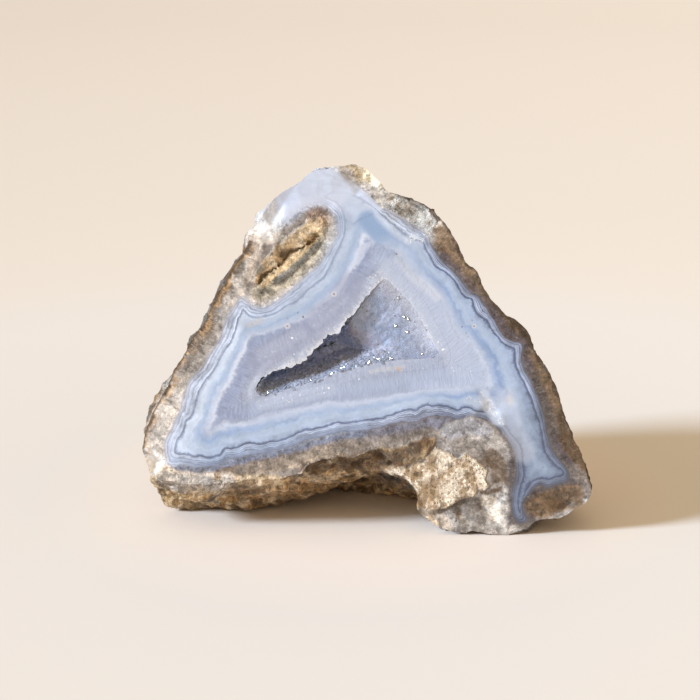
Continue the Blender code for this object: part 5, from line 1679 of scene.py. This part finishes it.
fibre_light = maths(drawing, "ADD", fibre_light, blotches)
light_mix = node(drawing, "Mix", data_type="FLOAT")
drawing.links.new(crystal, light_mix.inputs[0])
drawing.links.new(line_light, light_mix.inputs[2])
drawing.links.new(fibre_light, light_mix.inputs[3])
speckle = use_group(drawing, mottling, Scale=2600.0, Low=0.3, High=0.7)
drawing.links.new(given.outputs["Vector"], speckle.inputs["Vector"])
light = maths(
    drawing, "MULTIPLY", light_mix.outputs[0],
    between(drawing, speckle.outputs["Value"], 0.0, 1.0, 0.965, 1.035, smooth=False),
)
grey = node(drawing, "CombineColor")
for channel in ("Red", "Green", "Blue"):
    drawing.links.new(light, grey.inputs[channel])
lit = mixed(drawing, 1.0, banded, grey.outputs["Color"], "MULTIPLY")
in_foot = between(drawing, given.outputs["Slate"], 1.0, 2.0, smooth=False)
darker = maths(drawing, "MULTIPLY", in_foot, between(drawing, layer_place, 0.7, 1.1, 0.62, 0.30))
lit = mixed(drawing, darker, lit, (0.05, 0.062, 0.10))
# Painted glints: pale flecks in the inner crystal layers for the sparkle of small crystals, mixed below with pale
# crumbly ridges.
glints = use_group(drawing, flecks, Scale=1700.0, Size=0.40, Share=0.16)
drawing.links.new(given.outputs["Vector"], glints.inputs["Vector"])
inner = between(drawing, layer_place, 2.2, 2.9)
glint_amount = maths(drawing, "MULTIPLY", maths(drawing, "MULTIPLY", glints.outputs["Mask"], inner), 0.7)
crumbs = node(drawing, "TexNoise", {"Scale": 1250.0, "Detail": 3.0, "Roughness": 0.6, "Distortion": 0.6})
drawing.links.new(given.outputs["Vector"], crumbs.inputs["Vector"])
ridge = maths(drawing, "ABSOLUTE", maths(drawing, "SUBTRACT", crumbs.outputs["Fac"], 0.5))
ridge = between(drawing, ridge, 0.045, 0.0, 0.0, 0.42)
crumbly = maths(drawing, "MULTIPLY", ridge, between(drawing, layer_place, 2.4, 2.85))
pale_parts = maths(drawing, "MAXIMUM", glint_amount, crumbly)
drawing.links.new(mixed(drawing, pale_parts, lit, (0.80, 0.83, 0.90)), result.inputs["Color"])
drawing.links.new(crystal, result.inputs["Crystal"])
drawing.links.new(maths(drawing, "MULTIPLY", fibre.outputs["Fac"], crystal), result.inputs["Relief"])
print("the lace has", len(PALE_SIDE) + len(SLATE_SIDE), "tones")

# %% [markdown]
# ## Finish of the stone
# The sawn face is satin; the rock is matt with small glints. One material does both, and an attribute of
# the mesh says where the rock is. The listed glazes lie over the drawing of the lace. On the rock, two
# sizes of mottling, pale and dark flecks and a fine bump give the grain that is too small for the mesh.
# %% Finish of the stone
def read(tree, name, output="Fac"):
    made = node(tree, "Attribute", attribute_name=name)
    return made.outputs[output]


def wire(tree, source, group_node, label):
    tree.links.new(source, group_node.inputs[label])


stone_finish = bpy.data.materials.new("lace agate")
stone_finish.use_nodes = True
tree = stone_finish.node_tree
shader = tree.nodes["Principled BSDF"]
position = node(tree, "TexCoord").outputs["Object"]
rock, cream_part, lace_at = read(tree, "rock"), read(tree, "cream"), read(tree, "lace")
lace_node = use_group(tree, drawing)
wire(tree, position, lace_node, "Vector")
wire(tree, lace_at, lace_node, "Lace")
wire(tree, read(tree, "along"), lace_node, "Along")
wire(tree, read(tree, "slate"), lace_node, "Slate")
paint_node = node(tree, "Attribute", attribute_name="paint")

coarse = use_group(tree, grain, Scale=900.0)
fine = use_group(tree, grain, Scale=3000.0, Strength=0.42)
wire(tree, position, coarse, "Vector")
wire(tree, position, fine, "Vector")
wire(tree, between(tree, cream_part, 0.0, 1.0, 0.66, 0.26, smooth=False), coarse, "Strength")
light = maths(tree, "MULTIPLY", coarse.outputs["Light"], fine.outputs["Light"])
light = maths(tree, "MULTIPLY", light, between(tree, rock, 0.0, 1.0, 1.0, 1.2, smooth=False))
grey = node(tree, "CombineColor")
for channel in ("Red", "Green", "Blue"):
    tree.links.new(light, grey.inputs[channel])
broken = mixed(tree, 1.0, paint_node.outputs["Color"], grey.outputs["Color"], "MULTIPLY")
streak_place = node(tree, "CombineXYZ")
tree.links.new(maths(tree, "MULTIPLY", read(tree, "along"), 1.7), streak_place.inputs["X"])
tree.links.new(maths(tree, "MULTIPLY", lace_at, 0.8), streak_place.inputs["Y"])
streaks = node(tree, "TexNoise", {"Scale": 1.0, "Detail": 6.0, "Roughness": 0.7, "Distortion": 0.8})
tree.links.new(streak_place.outputs["Vector"], streaks.inputs["Vector"])
on_rind = maths(tree, "SUBTRACT", 1.0, rock)
pale_streaks = between(tree, streaks.outputs["Fac"], 0.53, 0.70, 0.0, 0.85)
dark_streaks = between(tree, streaks.outputs["Fac"], 0.47, 0.30, 0.0, 0.85)
pale_streaks = maths(tree, "MULTIPLY", pale_streaks, between(tree, read(tree, "slate"), 0.3, 1.0, 1.0, 0.25))
broken = mixed(tree, maths(tree, "MULTIPLY", dark_streaks, on_rind), broken, (0.12, 0.105, 0.10))
broken = mixed(tree, maths(tree, "MULTIPLY", pale_streaks, on_rind), broken, (0.62, 0.60, 0.59))
clear_grains = use_group(tree, flecks, Scale=1300.0, Size=0.36, Share=0.10)
wire(tree, position, clear_grains, "Vector")
not_cream = maths(tree, "SUBTRACT", 1.0, cream_part)
not_cream = maths(tree, "MULTIPLY", not_cream, between(tree, rock, 0.0, 1.0, 0.12, 0.4))
broken = mixed(tree, maths(tree, "MULTIPLY", clear_grains.outputs["Mask"], not_cream), broken, (0.72, 0.69, 0.66))
brown_grains = between(tree, coarse.outputs["Lot"], 0.14, 0.08, 0.0, 0.5)
broken = mixed(tree, maths(tree, "MULTIPLY", brown_grains, rock), broken, (0.11, 0.075, 0.045))
# The pits of the cream matrix are sunk in the bump below and painted darker brown in the same places: painted shade
# inside them. On the rest of the rock they are dark flecks only.
pits = use_group(tree, flecks, Scale=1900.0, Size=0.42, Share=0.34)
wire(tree, position, pits, "Vector")
broken = mixed(tree, maths(tree, "MULTIPLY", maths(tree, "MULTIPLY", pits.outputs["Mask"], cream_part), 0.75),
               broken, (0.34, 0.24, 0.15))
rock_pits = maths(tree, "MULTIPLY", pits.outputs["Mask"], maths(tree, "SUBTRACT", rock, cream_part))
broken = mixed(tree, maths(tree, "MULTIPLY", rock_pits, 0.3), broken, (0.09, 0.06, 0.04))
outside_lace = between(tree, lace_at, 0.25, -0.15)
painted = mixed(tree, maths(tree, "MAXIMUM", outside_lace, rock), paint_node.outputs["Color"], broken)
colour = mixed(tree, paint_node.outputs["Alpha"], lace_node.outputs["Color"], painted)
uneven = node(tree, "TexNoise", {"Scale": 2600.0, "Detail": 2.0})
wire(tree, position, uneven, "Vector")
jagged = node(tree, "VectorMath", operation="MULTIPLY_ADD")
tree.links.new(uneven.outputs["Color"], jagged.inputs[0])
jagged.inputs[1].default_value = (0.0005, 0.0005, 0.0005)
tree.links.new(position, jagged.inputs[2])
JAGGED_SHIFT = 0.00025
for x, y, radius, ringed in EYES:
    centre = in_part(np.array((*traced([(x, y)])[0], 0.0)))
    mark = use_group(tree, eye, Centre=tuple(centre + JAGGED_SHIFT), Radius=radius * MM)
    wire(tree, jagged.outputs["Vector"], mark, "Vector")
    if ringed:
        colour = mixed(tree, maths(tree, "MULTIPLY", mark.outputs["Ring"], 0.6), colour, (0.60, 0.60, 0.68))
    colour = mixed(tree, maths(tree, "MULTIPLY", mark.outputs["Dark"], 0.75), colour, (0.10, 0.07, 0.06))
# Painted highlights: a white dot for each of the painted glints.
for x, y, radius in PAINTED_GLINTS:
    centre = in_part(np.array((*traced([(x, y)])[0], 0.0)))
    mark = use_group(tree, eye, Centre=tuple(centre + JAGGED_SHIFT), Radius=0.7 * radius * MM)
    wire(tree, jagged.outputs["Vector"], mark, "Vector")
    colour = mixed(tree, maths(tree, "MULTIPLY", mark.outputs["Dark"], 0.9), colour, (0.90, 0.92, 1.0))
frost = read(tree, "frost")
splinters = node(tree, "TexNoise", {"Scale": 1900.0, "Detail": 4.0, "Roughness": 0.7, "Distortion": 0.8})
wire(tree, position, splinters, "Vector")
specks = between(tree, maths(tree, "ADD", splinters.outputs["Fac"], maths(tree, "MULTIPLY", frost, 0.22)), 0.66, 0.80)
whiter = maths(tree, "ADD", maths(tree, "MULTIPLY", frost, 0.24), maths(tree, "MULTIPLY", specks, 0.65))
whiter = maths(tree, "MULTIPLY", whiter, between(tree, frost, 0.0, 0.3))
colour = mixed(tree, whiter, colour, (0.80, 0.87, 1.0))
tree.links.new(colour, shader.inputs["Base Color"])
tree.links.new(between(tree, rock, 0.0, 1.0, 0.40, 0.66, smooth=False), shader.inputs["Roughness"])
shader.inputs["IOR"].default_value = 1.54

rock_height = maths(tree, "ADD", coarse.outputs["Height"], maths(tree, "MULTIPLY", fine.outputs["Height"], 0.7))
rock_height = maths(tree, "MULTIPLY", rock_height, maths(tree, "ADD", maths(tree, "MULTIPLY", rock, 1.6), 0.03))
rock_height = maths(tree, "SUBTRACT", rock_height, maths(tree, "MULTIPLY", maths(tree, "MULTIPLY", pits.outputs["Mask"], cream_part), 0.5))
height = maths(tree, "ADD", rock_height, maths(tree, "MULTIPLY", lace_node.outputs["Relief"], 0.10))
bump = node(tree, "Bump", {"Strength": 1.0, "Distance": 0.0009})
tree.links.new(height, bump.inputs["Height"])
tree.links.new(bump.outputs["Normal"], shader.inputs["Normal"])
stone.data.materials.append(stone_finish)
print("stone finish:", len(tree.nodes), "nodes")

# %% [markdown]
# ## Finish of the quartz
# The small points are clear quartz over a milky crust, with a cool lavender cast. A share of plain
# transmission lets light into them, and their faces are smooth, so the window flashes in them.
# %% Finish of the quartz
def quartz_finish(name, roughness, transmission, specular, milky, dots):
    material = bpy.data.materials.new(name)
    material.use_nodes = True
    tree = material.node_tree
    shader = tree.nodes["Principled BSDF"]
    position = node(tree, "TexCoord").outputs["Object"]
    paint = node(tree, "Attribute", attribute_name="paint")
    cloud = use_group(tree, mottling, Scale=900.0, Low=0.3, High=0.7)
    wire(tree, position, cloud, "Vector")
    sugar = use_group(tree, grain, Scale=1700.0, Strength=0.12)
    wire(tree, position, sugar, "Vector")
    light = between(tree, cloud.outputs["Value"], 0.0, 1.0, 0.92, 1.06, smooth=False)
    light = maths(tree, "MULTIPLY", light, sugar.outputs["Light"])
    grey = node(tree, "CombineColor")
    for channel in ("Red", "Green", "Blue"):
        tree.links.new(light, grey.inputs[channel])
    shaded = mixed(tree, 1.0, paint.outputs["Color"], grey.outputs["Color"], "MULTIPLY")
    specks = use_group(tree, flecks, Scale=1250.0, Size=0.30, Share=0.16)
    wire(tree, position, specks, "Vector")
    tree.links.new(
        mixed(tree, maths(tree, "MULTIPLY", specks.outputs["Mask"], dots), shaded, (0.10, 0.07, 0.05)),
        shader.inputs["Base Color"],
    )
    shader.inputs["Roughness"].default_value = roughness
    shader.inputs["IOR"].default_value = 1.544
    shader.inputs["Transmission Weight"].default_value = transmission
    shader.inputs["Specular IOR Level"].default_value = specular
    shader.inputs["Subsurface Weight"].default_value = 1.0 if dots else milky
    shader.inputs["Subsurface Radius"].default_value = (1.0, 1.0, 1.2)
    shader.inputs["Subsurface Scale"].default_value = milky * MM
    if dots:
        sugar_bump = node(tree, "Bump", {"Strength": 0.7, "Distance": 0.0004})
        tree.links.new(sugar.outputs["Height"], sugar_bump.inputs["Height"])
        tree.links.new(sugar_bump.outputs["Normal"], shader.inputs["Normal"])
    return material


clear_quartz = quartz_finish("clear quartz", 0.35, 0.2, 0.4, 0.2, 0.0)
milky_quartz = quartz_finish("milky quartz", 0.5, 0.0, 0.3, 1.0, 0.6)
points.data.materials.append(clear_quartz)
flashes.data.materials.append(quartz_finish("bright quartz", 0.05, 0.0, 0.5, 0.0, 0.0))
crust.data.materials.append(stone_finish)
crust.data.materials.append(milky_quartz)
on_wall = [min(face.vertices) < WALL_START - RING_POINTS or inner_tip in face.vertices for face in crust.data.polygons]
crust.data.polygons.foreach_set("material_index", np.array(on_wall, np.int32))
only(crust)
bpy.ops.object.shade_smooth_by_angle(angle=math.radians(40))
stone.data.polygons.foreach_set("use_smooth", np.ones(len(stone.data.polygons), bool))
bpy.ops.object.select_all(action="DESELECT")
for piece in (crust, points, flashes):
    piece.select_set(True)
bpy.context.view_layer.objects.active = crust
bpy.ops.object.join()
print("crust:", len(crust.data.polygons), "faces in all")

# %% Sharp edges
only(stone)
bpy.ops.object.shade_smooth_by_angle(angle=math.radians(50))
print("stone shaded smooth up to 50 degrees")

# %% Ride and replace
for piece, solid, slot in ((stone, "agate_stone", "agate"), (crust, "quartz_druse", "quartz")):
    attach(piece, "root")
    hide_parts(solid)
